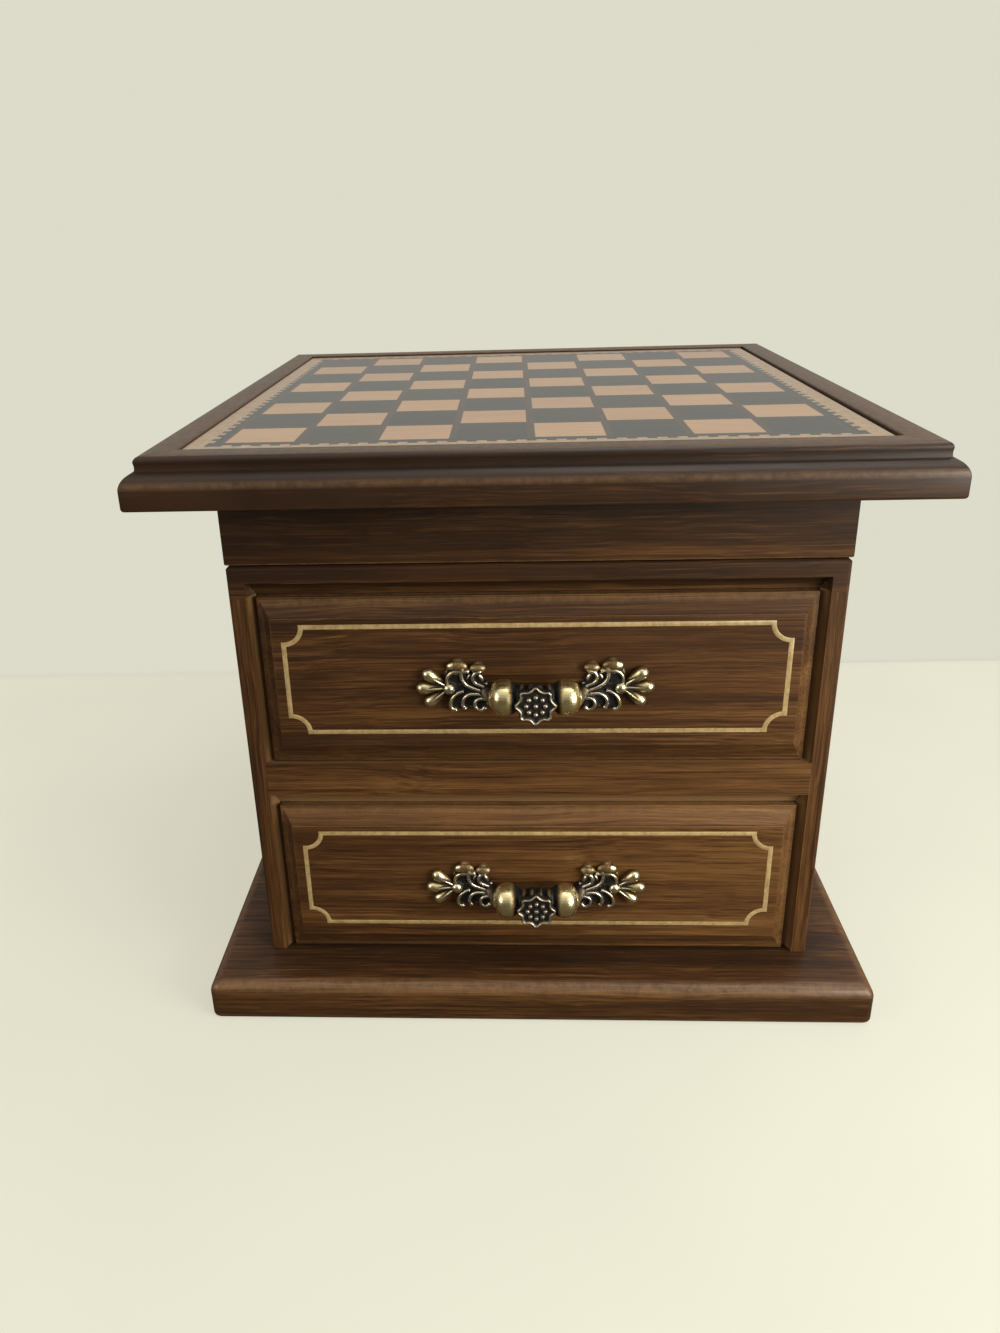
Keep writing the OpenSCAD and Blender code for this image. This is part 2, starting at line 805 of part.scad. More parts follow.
module pull_star() {
    translate([0, star_t - star_face, 0]) rotate([90, 0, 0]) linear_extrude(star_t - 0.6) star_plan(0);
    translate([0, star_t - star_face, 0]) rotate([90, 0, 0]) linear_extrude(star_t) difference() {
        star_plan(0);
        star_plan(-star_rim);
    }
    translate([0, 0.6 - star_face, 0]) {
        sphere(r = star_bead_r, $fn = 24);
        for (i = [0:7]) rotate([0, 45 * i, 0]) translate([star_r * 0.47, 0, 0])
            sphere(r = star_bead_r, $fn = 24);
    }
}

// A whole pull, on the plane y = 0 with its middle at the origin
module pull() {
    difference() {
        union() {
            for (side = [0, 1]) mirror([side, 0, 0]) {
                translate([hub_x, 0, 0]) pull_leaf();
                pull_arm();
                translate([bulb_x, -bow_rise, 0]) pull_bulb();
                translate([bulb_x - bulb_len / 2 - 0.7, -bow_rise, 0]) rotate([0, 90, 0])
                    cylinder(r = bar_r + 0.9, h = 1.4);
            }
            translate([0, -bow_rise, 0]) rotate([0, 90, 0]) cylinder(r = bar_r, h = 2 * bulb_x, center = true);
            translate([0, star_t - star_face - 0.2, 0]) rotate([-90, 0, 0])
                cylinder(r1 = star_r * 0.7, r2 = bar_r * 0.8, h = star_face - star_t - bow_rise);
            pull_star();
        }
        for (sx = [-1, 1]) translate([sx * hub_x, over, 0]) rotate([90, 0, 0])
            cylinder(r = pull_screw_r + fit, h = over + pull_bore);
    }
}

module at_pull() { translate([0, field_y, pull_z]) children(); }

module at_upper() { translate([0, 0, upper_z]) children(); }

module at_lower() { translate([0, 0, lower_z]) children(); }

module upper_drawer_front() { color(walnut) at_upper() drawer_front(); }

module upper_drawer_right_side() { color(plain_wood) at_upper() drawer_side(); }

module upper_drawer_left_side() { color(plain_wood) at_upper() mirror([1, 0, 0]) drawer_side(); }

module upper_drawer_back() { color(plain_wood) at_upper() drawer_back(); }

module upper_drawer_bottom() { color(plain_wood) at_upper() drawer_bottom(); }

module upper_drawer_lining() { color(green) at_upper() drawer_lining(); }

module upper_inlay_line() { color(cream) at_upper() inlay_solid(0); }

module upper_pull() { color(brass) at_upper() at_pull() pull(); }

module upper_pull_screws() { color(brass) at_upper() pull_screws(); }

module lower_drawer_front() { color(walnut) at_lower() drawer_front(); }

module lower_drawer_right_side() { color(plain_wood) at_lower() drawer_side(); }

module lower_drawer_left_side() { color(plain_wood) at_lower() mirror([1, 0, 0]) drawer_side(); }

module lower_drawer_back() { color(plain_wood) at_lower() drawer_back(); }

module lower_drawer_bottom() { color(plain_wood) at_lower() drawer_bottom(); }

module lower_drawer_lining() { color(green) at_lower() drawer_lining(); }

module lower_inlay_line() { color(cream) at_lower() inlay_solid(0); }

module lower_pull() { color(brass) at_lower() at_pull() pull(); }

module lower_pull_screws() { color(brass) at_lower() pull_screws(); }

plinth();
case_side_left();
case_side_right();
case_top();
case_back();
middle_rail();
runner_left();
runner_right();
dust_panel();
plinth_screws();
case_hinge_leaves();
hinge_pins();
case_hinge_screws();
frame_front();
frame_right();
frame_back();
frame_left();
neck_front();
neck_right();
neck_back();
neck_left();
board_core();
dark_field();
light_squares();
board_border();
lid_hinge_leaves();
lid_hinge_screws();
upper_drawer_front();
upper_drawer_left_side();
upper_drawer_right_side();
upper_drawer_back();
upper_drawer_bottom();
upper_drawer_lining();
upper_inlay_line();
upper_pull();
upper_pull_screws();
lower_drawer_front();
lower_drawer_left_side();
lower_drawer_right_side();
lower_drawer_back();
lower_drawer_bottom();
lower_drawer_lining();
lower_inlay_line();
lower_pull();
lower_pull_screws();
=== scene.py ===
import math

import bpy
import numpy as np
from mathutils import Matrix, Vector


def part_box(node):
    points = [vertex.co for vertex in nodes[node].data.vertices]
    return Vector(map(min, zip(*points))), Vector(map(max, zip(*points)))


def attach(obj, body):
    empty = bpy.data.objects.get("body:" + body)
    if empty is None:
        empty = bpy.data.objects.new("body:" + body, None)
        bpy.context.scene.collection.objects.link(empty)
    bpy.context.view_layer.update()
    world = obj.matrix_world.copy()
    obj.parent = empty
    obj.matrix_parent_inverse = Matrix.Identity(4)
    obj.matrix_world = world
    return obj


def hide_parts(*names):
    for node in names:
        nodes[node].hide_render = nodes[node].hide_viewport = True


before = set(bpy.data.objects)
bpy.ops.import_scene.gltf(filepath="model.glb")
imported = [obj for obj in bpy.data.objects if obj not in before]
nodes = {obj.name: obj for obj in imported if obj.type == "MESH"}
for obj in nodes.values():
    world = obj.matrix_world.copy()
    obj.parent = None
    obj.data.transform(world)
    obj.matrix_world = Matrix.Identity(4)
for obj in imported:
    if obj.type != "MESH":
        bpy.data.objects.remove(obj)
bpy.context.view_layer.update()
mm = 0.001


def say(stage):
    print("chess box:", stage)


# Linear colour of a screen colour: the lower part is divided by 12.92, the rest is a power of 2.4
def srgb(red, green, blue):
    screen = np.array([red, green, blue]) / 255
    linear = np.where(screen > 0.04045, ((screen + 0.055) / 1.055) ** 2.4, screen / 12.92)
    return (*linear.tolist(), 1.0)


# Where a node ends along an axis, in mm: side 0 is its low end, 1 its high end
def edge(node, axis, side):
    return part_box(node)[side][axis] / mm


def dress(node, finish):
    nodes[node].data.materials[0] = finish


# A socket in an expression: each operator adds one Math node
class Sock:
    def __init__(self, tree, socket):
        self.tree = tree
        self.socket = socket

    def maths(self, operation, *others, clamp=False):
        settings = {"operation": operation, "use_clamp": clamp}
        return Nodes(self.tree).node("Math", settings, dict(enumerate((self, *others))))

    def __add__(self, other):
        return self.maths("ADD", other)

    def __sub__(self, other):
        return self.maths("SUBTRACT", other)

    def __mul__(self, other):
        return self.maths("MULTIPLY", other)

    def __rsub__(self, other):
        return (self * -1) + other

    __radd__ = __add__
    __rmul__ = __mul__

    def clamp(self):
        return self.maths("ADD", 0.0, clamp=True)

    def abs(self):
        return self.maths("ABSOLUTE")

    def highest(self, other):
        return self.maths("MAXIMUM", other)

    def power(self, other):
        return self.maths("POWER", other)

    def floor(self):
        return self.maths("FLOOR")

    # 0 below low, 1 above high, and an even rise between them
    def step(self, low, high):
        return ((self - low) * (1 / (high - low))).clamp()


def plug(tree, target, value):
    if isinstance(value, Sock):
        tree.links.new(value.socket, target)
    else:
        target.default_value = value


# A node tree under way: one method adds any node, and the rest are short forms of it
class Nodes:
    def __init__(self, tree):
        self.tree = tree

    def node(self, kind, settings, values, output=0):
        node = self.tree.nodes.new("ShaderNode" + kind)
        for key, value in settings.items():
            if key == "stops":
                ramp = node.color_ramp
                while len(ramp.elements) < len(value):
                    ramp.elements.new(0.5)
                for element, (place, colour) in zip(ramp.elements, value):
                    element.position = place
                    element.color = colour
            else:
                setattr(node, key, value)
        for key, value in values.items():
            plug(self.tree, node.inputs[key], value)
        if output == "all":
            return [Sock(self.tree, out) for out in node.outputs]
        return Sock(self.tree, node.outputs[output])

    # Object coordinates in mm
    def place(self):
        return self.scaled(self.node("TexCoord", {}, {}, "Object"), (1 / mm,) * 3)

    def scaled(self, vector, by, moved=(0, 0, 0)):
        return self.node("VectorMath", {"operation": "MULTIPLY_ADD"}, {0: vector, 1: by, 2: moved})

    def parts(self, vector=None):
        return self.node("SeparateXYZ", {}, {0: vector or self.place()}, "all")

    def joined(self, x, y, z):
        return self.node("CombineXYZ", {}, {0: x, 1: y, 2: z})

    def noise(self, scale=1.0, detail=2.0, roughness=0.5, at=None):
        return self.node("TexNoise", {}, {"Vector": at or self.place(), "Scale": scale, "Detail": detail,
                                          "Roughness": roughness})

    def ramp(self, factor, stops):
        return self.node("ValToRGB", {"stops": stops}, {0: factor})

    def mix(self, factor, first, second):
        return self.node("Mix", {"data_type": "RGBA"}, {0: factor, 6: first, 7: second}, 2)

    def attribute(self, name):
        return self.node("Attribute", {"attribute_name": name}, {}, "Fac")

    def bump(self, height, strength, distance, normal=None):
        values = {"Height": height, "Strength": strength, "Distance": distance}
        if normal:
            values["Normal"] = normal
        return self.node("Bump", {}, values)


# A material under way: done sets or links sockets of its shader
class Finish(Nodes):
    def __init__(self, name, **constants):
        self.material = bpy.data.materials.new(name)
        self.material.use_nodes = True
        super().__init__(self.material.node_tree)
        self.shader = self.tree.nodes["Principled BSDF"]
        self.done(**constants)

    def done(self, **sockets):
        for socket, value in sockets.items():
            plug(self.tree, self.shader.inputs[socket.replace("_", " ")], value)
        return self.material


# Stops are where the grain's four colours stand; the rings and the fade of a mitre's shadow are in mm
walnut = {
    "dark": srgb(68, 41, 18), "brown": srgb(98, 64, 31), "light": srgb(126, 89, 50),
    # Of the next line's colours, the pale one serves wear and painted highlight, and the near black one
    # painted shade
    "streak": srgb(44, 25, 11), "worn": srgb(148, 112, 74), "grime": srgb(20, 12, 6),
    "ringWidth": 9.0, "stops": (0.26, 0.39, 0.52, 0.72), "patch": (0.014, 0.014, 0.03),
    "mitreFade": (0.08, 0.35),
}

# Change per mm along the grain and across it, detail, roughness, and the seed's share
grainLayers = {
    "bend": (0.010, 0.016, 3.0, 0.5, 1), "ring": (0.003, 1.0, 3.0, 0.5, 3),
    "stripe": (0.012, 0.9, 4.0, 0.65, 5), "fibre": (0.035, 2.4, 3.0, 0.65, 0),
    "pore": (0.11, 3.6, 2.0, 0.5, 1),
}
grainSway = 6  # mm


# Long grain: noise drawn out along the grain, with the places across it moved by a slower noise
def woodPattern(finish, grain, seed, ringWidth):
    x, y, z = finish.parts()
    along, across, deep = {"x": (x, y, z), "y": (y, x, z), "z": (z, x, y)}[grain]

    def layer(name, width=1.0):
        slow, fast, detail, roughness, share = grainLayers[name]
        fast = fast / width
        place = finish.joined(along * slow + seed * share, across * fast, deep * fast)
        return finish.noise(1.0, detail, roughness, place)

    bend = (layer("bend") - 0.5) * grainSway
    across, deep = across + bend, deep + bend
    return layer("ring", ringWidth), layer("stripe"), layer("fibre"), layer("pore").step(0.61, 0.71)


# A hairline shadow where two rails meet on the diagonal
def mitreShade(finish):
    x, y, z = finish.parts()
    return 1 - (x.abs() - y.abs()).abs().step(*walnut["mitreFade"])


# Where the coves' marks rise and fade behind the case's front, and begin inside its walls and top, in mm
coveMark = {"rise": (0.1, 2.5), "fade": (4.8, 5.4), "wall": (4.6, 5.4), "top": (1.9, 2.9)}


# Grows with the depth behind the front face, inside the openings only
def insideCove(finish):
    x, y, z = finish.parts()
    behind = y - edge("case_top", 1, 0)
    wall = (edge("case_top", 0, 1) - x.abs()).step(*coveMark["wall"])
    top = (edge("case_top", 2, 1) - z).step(*coveMark["top"])
    return behind.step(*coveMark["rise"]) * (1 - behind.step(*coveMark["fade"])) * wall * top


# tone lightens the wood, drift lightens it towards the right as painted light from the right, and gloss is
# the weight of the lacquer.
# A cove above 0 is painted pale inside, as painted light against the coves' shade, and one below 0 dark, as
# painted shade
def walnutFinish(name, grain, seed, tone=0.0, gloss=0.5, mitred=False, cove=0.0, drift=0.0):
    finish = Finish("walnut " + name, Coat_Roughness=0.2, Specular_IOR_Level=0.16 + 0.3 * gloss,
                    Coat_IOR=1.5)
    ring, stripe, fibre, pore = woodPattern(finish, grain, seed, walnut["ringWidth"])
    level = ring * 0.5 + stripe * 0.55 + fibre * 0.6 - 0.325 + tone
    # Painted light: the wood grows lighter towards the right, where the light comes from
    if drift:
        level = level + finish.parts()[0] * drift
    shades = [walnut[shade] for shade in ("streak", "dark", "brown", "light")]
    colour = finish.ramp(level, list(zip(walnut["stops"], shades)))
    patch = finish.noise(at=finish.scaled(finish.place(), walnut["patch"], (seed, 0, 0)))
    colour = finish.mix(patch.step(0.48, 0.68) * 0.4, colour, walnut["dark"])
    colour = finish.mix(pore * 0.55, colour, walnut["streak"])
    rub = finish.noise(0.35, 4.0, 0.65)
    # The pale mark: wear and painted highlight from the mesh, and with a cove above 0 painted light inside
    # the coves
    worn = (finish.attribute("worn") * (rub.step(0.34, 0.62) * 0.6 + 0.35)).clamp()
    if cove > 0:
        worn = worn.highest(insideCove(finish) * cove)
    colour = finish.mix(worn * 0.6, colour, walnut["worn"])
    # Painted shade: the mesh's shade mark, the mitres' hairline shadow, and with a cove below 0 the coves'
    # shade
    shadeWeight = finish.attribute("grime")
    if mitred:
        shadeWeight = shadeWeight.highest(mitreShade(finish))
    if cove < 0:
        shadeWeight = shadeWeight.highest(insideCove(finish) * -cove)
    colour = finish.mix((shadeWeight * 0.75).clamp(), colour, walnut["grime"])
    smear = finish.noise(0.05, 4.0)
    rough = (smear * 0.2 + fibre * 0.12 + pore * 0.15 + (0.42 - 0.28 * gloss)).clamp()
    relief = finish.bump(fibre * 0.35 - pore, 0.18, 0.0001)
    relief = finish.bump(finish.noise(0.03, 2.0), 0.10, 0.0010, relief)
    return finish.done(Base_Color=colour, Roughness=rough, Normal=relief,
                       Coat_Weight=((1 - shadeWeight) * gloss).clamp())


plainWood = {
    "dark": srgb(142, 104, 66), "brown": srgb(178, 138, 92), "light": srgb(204, 168, 120),
    "ringWidth": 14.0, "stops": (0.3, 0.5, 0.75),
}


# Bare wood inside: the same long grain with little contrast, and no lacquer
def plainFinish(name, grain, seed):
    finish = Finish(name + " wood", Specular_IOR_Level=0.3)
    band, stripe, fibre, pore = woodPattern(finish, grain, seed, plainWood["ringWidth"])
    level = band * 0.55 + stripe * 0.4 + fibre * 0.3 - 0.1
    shades = [plainWood[shade] for shade in ("dark", "brown", "light")]
    colour = finish.ramp(level, list(zip(plainWood["stops"], shades)))
    colour = finish.mix(pore * 0.35, colour, plainWood["dark"])
    relief = finish.bump(fibre * 0.5 - pore, 0.3, 0.00012)
    return finish.done(Base_Color=colour, Roughness=(fibre * 0.2 + 0.55).clamp(), Normal=relief)


# Pitch, slip of the loose board to the front left and half of the dark field in mm. The rim and the line
# round a square begin and end at shares of the pitch
board = {
    "pitch": 25.4, "slip": 0.6, "fieldHalf": (101.5, 101.7), "rim": (0.435, 0.451), "line": (0.447, 0.455),
    "lightOne": srgb(200, 164, 126), "lightTwo": srgb(184, 146, 114), "lightFleck": srgb(150, 114, 88),
    "darkOne": srgb(62, 65, 58), "darkTwo": srgb(44, 47, 44), "lineTone": srgb(74, 62, 50),
    "borderOne": srgb(186, 158, 126), "borderTwo": srgb(160, 132, 102),
}


def veneer(name, coatRoughness=0.10):
    return Finish(name, Coat_Weight=0.7, Coat_Roughness=coatRoughness, Specular_IOR_Level=0.4)


# Places on the board in mm from its middle
def boardPlace(finish):
    x, y, z = finish.parts()
    return x + board["slip"], y + board["slip"]


# One steady number from 0 to 1 for each square, and the distance from its middle as a share of the pitch
def boardCell(finish, shift):
    across, up = [place * (1 / board["pitch"]) + 4 for place in boardPlace(finish)]
    column, row = across.floor(), up.floor()
    lot = finish.node("TexWhiteNoise", {"noise_dimensions": "3D"},
                      {"Vector": finish.joined(column + 0.5, row + 0.5, shift)}, "Value")
    inX, inY = across - column - 0.5, up - row - 0.5
    return lot, inX.abs().highest(inY.abs())


# Fine grain that starts anew in every square: the lot moves the noise
def veneerGrain(finish, lot, pitchLong, pitchCross):
    x, y, z = finish.parts()
    place = finish.joined(x * pitchLong + lot * 90, y * pitchCross + lot * 47, lot * 31)
    return finish.noise(1.0, 5.0, 0.6, place)


# The board's thick clear coat, faintly wavy
def lacquered(finish, colour, grain, rough=0.3):
    wave = finish.bump(finish.noise(0.05, 2.0), 0.10, 0.0008)
    return finish.done(Base_Color=colour, Roughness=(grain * 0.2 + rough).clamp(),
                       Normal=finish.bump(grain, 0.15, 0.0001, wave))


# Two tones that differ from square to square, darker flecks along the grain and a darker rim
def lightVeneer():
    finish = veneer("light veneer squares")
    lot, fromMiddle = boardCell(finish, 1.7)
    grain = veneerGrain(finish, lot, 0.05, 1.6)
    patch = veneerGrain(finish, lot, 0.03, 0.06)
    colour = finish.mix((patch * 0.9 + lot * 0.5 - 0.2).clamp(), board["lightOne"], board["lightTwo"])
    colour = finish.mix(grain.step(0.5, 0.75) * 0.5, colour, board["lightFleck"])
    colour = finish.mix(fromMiddle.step(*board["rim"]) * 0.45, colour, board["lightFleck"])
    return lacquered(finish, colour, grain)


# Two dark tones, and a brown line round each square but not beyond the field
def darkVeneer():
    finish = veneer("dark veneer field")
    lot, fromMiddle = boardCell(finish, 4.3)
    grain = veneerGrain(finish, lot, 0.05, 1.4)
    colour = finish.mix((grain * 1.4 + lot * 0.5 - 0.5).clamp(), board["darkTwo"], board["darkOne"])
    x, y = boardPlace(finish)
    outside = x.abs().highest(y.abs()).step(*board["fieldHalf"])
    line = fromMiddle.step(*board["line"]) * (1 - outside)
    return lacquered(finish, finish.mix(line * 0.8, colour, board["lineTone"]), grain, 0.32)


def borderVeneer():
    finish = veneer("light board border", 0.12)
    grain = finish.noise(0.35, 5.0, 0.6)
    colour = finish.mix(grain.step(0.35, 0.7), board["borderOne"], board["borderTwo"])
    return lacquered(finish, colour, grain)


inlayWood = {"pale": srgb(184, 156, 108), "deep": srgb(152, 126, 82)}


# Cream line with the odd dark break where the veneer is nicked
def inlayFinish():
    finish = Finish("cream inlay line", Coat_Weight=0.35, Coat_Roughness=0.2)
    grain = finish.noise(0.5, 4.0, 0.6)
    nick = finish.noise(0.9, 2.0).step(0.66, 0.70)
    colour = finish.mix(grain.step(0.35, 0.65), inlayWood["pale"], inlayWood["deep"])
    colour = finish.mix(nick * 0.6, colour, walnut["brown"])
    return finish.done(Base_Color=colour, Roughness=(grain * 0.3 + 0.3).clamp(),
                       Normal=finish.bump(grain, 0.2, 0.0001))


brass = {
    "brightGrey": srgb(214, 204, 190), "brightYellow": srgb(236, 218, 160), "hollow": srgb(16, 12, 8),
    "dullGrey": srgb(92, 76, 56), "dullYellow": srgb(128, 98, 52),
}


# By the mesh's marks: rub goes from black hollows to bright ridges, gild from nickel grey to yellow brass
def castBrass():
    finish = Finish("aged cast brass", Specular_IOR_Level=0.5)
    stain = finish.noise(0.9, 4.0, 0.65)
    rub = (finish.attribute("rub") + (stain - 0.5) * 0.5).clamp()
    tint = finish.noise(0.35, 3.0)
    gild = (finish.attribute("gild") + (tint - 0.5) * 0.8).clamp()
    bright = finish.mix(gild, brass["brightGrey"], brass["brightYellow"])
    dull = finish.mix(gild, brass["dullGrey"], brass["dullYellow"])
    colour = finish.mix(rub.step(0.12, 0.45), brass["hollow"], dull)
    colour = finish.mix(rub.step(0.42, 0.80), colour, bright)
    relief = finish.bump(finish.noise(2.2, 3.0, 0.6), 0.22, 0.0001)
    return finish.done(Base_Color=colour, Roughness=(0.56 - rub * 0.36 + stain * 0.12).clamp(),
                       Metallic=(rub * 1.2 + 0.2).clamp(), Normal=relief)


# Plain metals: colour, colour of the tarnish, and change of the scratches per mm
metals = {
    "hinge brass": (srgb(196, 160, 92), srgb(120, 92, 50), (0.4, 3.0, 3.0)),
    "screw steel": (srgb(176, 172, 164), srgb(104, 98, 88), (1.0, 3.0, 3.0)),
}


# Fine scratches along x and a little tarnish
def brushedMetal(name):
    colour, tarnish, scratch = metals[name]
    finish = Finish(name, Metallic=1.0)
    line = finish.noise(1.0, 3.0, at=finish.scaled(finish.place(), scratch))
    stain = finish.noise(0.3, 4.0)
    return finish.done(Base_Color=finish.mix(stain.step(0.4, 0.7) * 0.7, colour, tarnish),
                       Roughness=(line * 0.2 + stain * 0.15 + 0.2).clamp(),
                       Normal=finish.bump(line, 0.15, 0.00008))


baize = {"low": srgb(34, 70, 46), "high": srgb(58, 104, 70), "faded": srgb(74, 112, 78)}


# Short nap from fine noise, faded in slow patches
def baizeFinish():
    finish = Finish("green baize", Sheen_Weight=0.5, Sheen_Roughness=0.5, Specular_IOR_Level=0.2)
    nap = finish.noise(2.2, 5.0, 0.75)
    drift = finish.noise(0.06, 3.0)
    colour = finish.mix(nap.step(0.3, 0.7), baize["low"], baize["high"])
    colour = finish.mix(drift.step(0.45, 0.7) * 0.3, colour, baize["faded"])
    return finish.done(Base_Color=colour, Roughness=(nap * 0.1 + 0.85).clamp(),
                       Normal=finish.bump(nap, 0.7, 0.0006))


# A grid of points (rows, columns, 3) in mm becomes quads between neighbours. Columns close on themselves,
# and looped rows too, while others end in flat caps. Faces turn outwards by the sign of the volume
def shellOf(points, looped=False, **marks):
    rows, columns = points.shape[:2]
    index = np.arange(rows * columns).reshape(rows, columns)
    lower = index if looped else index[:-1]
    upper = np.roll(index, -1, 0) if looped else index[1:]
    quads = np.stack([lower, np.roll(lower, -1, 1), np.roll(upper, -1, 1), upper], -1)
    faces = quads.reshape(-1, 4).tolist()
    if not looped:
        faces += [index[0][::-1].tolist(), index[-1].tolist()]
    flat = points.reshape(-1, 3)
    marks = {name: np.broadcast_to(value, (rows, columns)).reshape(-1) for name, value in marks.items()}
    if signedVolume(flat, faces) < 0:
        faces = [face[::-1] for face in faces]
    return flat, faces, marks


# A sixth of the triple products over a fan of each face, for all faces of one length at once
def signedVolume(flat, faces):
    total = 0
    for length in {len(face) for face in faces}:
        corner = flat[np.array([face for face in faces if len(face) == length])]
        total += np.sum(corner[:, :1] * np.cross(corner[:, 1:-1], corner[:, 2:])) / 6
    return total


# Closed shells in mm become one mesh object in metres
def pieceOf(name, shells, sharpAngle=32, markNames=("worn", "grime")):
    points, faces, start = [], [], 0
    for flat, quads, marks in shells:
        points.append(flat)
        faces += [[corner + start for corner in face] for face in quads]
        start += len(flat)
    mesh = bpy.data.meshes.new(name)
    mesh.from_pydata((np.vstack(points) * mm).tolist(), [], faces)
    for mark in markNames:
        values = np.concatenate([marks.get(mark, np.zeros(len(flat))) for flat, quads, marks in shells])
        layer = mesh.attributes.new(mark, "FLOAT", "POINT")
        layer.data.foreach_set("value", values.astype(np.float32))
    mesh.shade_smooth()
    mesh.set_sharp_from_angle(angle=math.radians(sharpAngle))
    mesh.update()
    piece = bpy.data.objects.new(name, mesh)
    bpy.context.scene.collection.objects.link(piece)
    return piece


# Gives a finished piece its material and its body, and hides the CAD node that it stands for
def fit(piece, body, finish, replaced):
    piece.data.materials.append(finish)
    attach(piece, body)
    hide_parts(replaced)


# Points at even angles, in degrees, on a circle
def arc(centre, radius, start, end, steps):
    angle = np.radians(np.linspace(start, end, steps + 1))
    return np.stack([centre[0] + radius * np.cos(angle), centre[1] + radius * np.sin(angle)], 1)


# Even angles round a full turn, as one row
def fullTurn(columns):
    return np.linspace(0, 2 * math.pi, columns, endpoint=False)[None, :]


# A closed plan: four quarter arcs joined by straight sides
def roundedRect(halfX, halfY, radius, steps=5):
    radius = max(radius, 0.01)
    corners = [arc((sx * (halfX - radius), sy * (halfY - radius)), radius, turn, turn + 90, steps)
               for sx, sy, turn in [(1, 1, 0), (-1, 1, 90), (-1, -1, 180), (1, -1, 270)]]
    return np.vstack(corners)


# A board with rounded arrises: rounded plans stacked up, drawn in by a quarter arc at both ends
def softBlock(low, high, radius, steps=3):
    low, high = np.array(low, float), np.array(high, float)
    middle, half = (low + high) / 2, (high - low) / 2
    turn = np.radians(np.linspace(0, 90, steps + 1))
    inset = radius * (1 - np.concatenate([np.sin(turn), np.sin(turn[::-1])]))
    rise = radius * (1 - np.cos(turn))
    rings = []
    for drawnIn, z in zip(inset, np.concatenate([low[2] + rise, high[2] - rise[::-1]])):
        plan = roundedRect(half[0] - drawnIn, half[1] - drawnIn, radius * 1.05 - drawnIn * 0.9, steps)
        rings.append(np.column_stack([plan + middle[:2], np.full(len(plan), z)]))
    return shellOf(np.array(rings))


# The lid's moulded frame and the neck under it, in mm
lidFrame = {
    "face": 10.8, "proj": 4.3, "height": 16.5, "base": 6.6, "ovolo": 5.3, "topRound": 1.8,
    "lowRound": 1.3, "hollow": 0.2, "innerRound": 0.5, "rebate": 112.8, "neckIn": 97.0, "ledge": 8.5,
    # frontDrift is painted light: the front rail and front neck grow lighter towards the right
    "neckRound": 0.8, "frontDrift": 0.0005,
    "rail": (-0.26, 0.42), "neck": (-0.15, 0.3), "neckBack": (-0.05, 0.3),  # tone and gloss of the wood
}


# Closed section, u outwards and v up: base, ovolo, small step, shallow hollow, rounded top, rebate, ledge.
# Each stretch has its points, their pale mark of wear and painted highlight, and their painted shade
def frameSection():
    f = lidFrame
    face, ledge = f["face"], f["ledge"]
    out = face + f["proj"]
    meet = math.degrees(math.acos((f["ovolo"] - f["proj"]) / f["ovolo"]))
    quirk = f["base"] + f["ovolo"] * math.sin(math.radians(meet))
    inner = f["neckIn"] - f["rebate"]
    hollowTop = f["height"] - f["topRound"]
    bottom = arc((out - f["lowRound"], f["lowRound"]), f["lowRound"], -90, 0, 5)
    ovolo = arc((out - f["ovolo"], f["base"]), f["ovolo"], 0, meet - 1, 9)
    rise = np.linspace(0, 1, 7)[1:-1]
    sunk = f["hollow"] * 4 * rise * (1 - rise)
    hollow = np.stack([face - sunk, quirk + (hollowTop - quirk) * rise], 1)
    top = arc((face - f["topRound"], hollowTop), f["topRound"], 0, 90, 5)
    inside = arc((f["innerRound"], f["height"] - f["innerRound"]), f["innerRound"], 90, 180, 3)
    stretches = [
        (bottom, 0.15 * np.sin(np.linspace(0, np.pi, 6)), [0.4, 0.3, 0.2, 0.1, 0, 0]),
        # The ovolo: painted highlight low on its curve, and painted shade growing up its upper part
        (ovolo, [0, 0.3, 0.45, 0.3, 0, 0, 0, 0, 0, 0], [0, 0, 0, 0.1, 0.35, 0.5, 0.6, 0.65, 0.7, 0.85]),
        ([[face + 0.02, quirk + 0.02], [face, quirk + 0.1]], [0, 0], [1, 0.9]),
        (hollow, np.zeros(5), [0.4, 0.3, 0.3, 0.3, 0.4]),
        (top, [0, 0, 0, 0, 0.2, 0.5], [0.45, 0.5, 0.5, 0.4, 0.1, 0]),
        (inside, [0.5, 0.5, 0.4, 0], np.zeros(4)),
        ([[0, ledge + 0.15], [0, ledge]], [0, 0], [1, 1]),
        ([[inner, ledge], [inner, 0]], [0, 0], [0, 0]),
    ]
    return [np.concatenate([np.array(part, float) for part in parts]) for parts in zip(*stretches)]


# A neck board's closed section: a small round below, square above. The small round gets the pale mark of
# wear and painted highlight, and the top under the rail painted shade
def neckSection(thick, height):
    low = arc((-lidFrame["neckRound"], lidFrame["neckRound"]), lidFrame["neckRound"], -90, 0, 4)
    points = np.vstack([low, [[0, height - 0.2], [0, height], [-thick, height], [-thick, 0]]])
    return points, np.array([0, 0.7, 1, 0.7, 0, 0, 0, 0, 0]), np.array([0, 0, 0, 0, 0, 1, 1, 0, 0])


# A section carried along one side of a square: each point runs from mitre to mitre at its own reach
def mitredRail(points, worn, grime, half, z, quarter, stations=40):
    t = np.linspace(-1, 1, stations)[:, None]
    reach = half + points[:, 0][None, :]
    x, y = t * reach, -reach + 0 * t
    angle = math.radians(90 * quarter)
    grid = np.stack([x * math.cos(angle) - y * math.sin(angle), x * math.sin(angle) + y * math.cos(angle),
                     z + points[:, 1][None, :] + 0 * t], -1)
    return shellOf(grid, worn=worn[None, :], grime=grime[None, :])


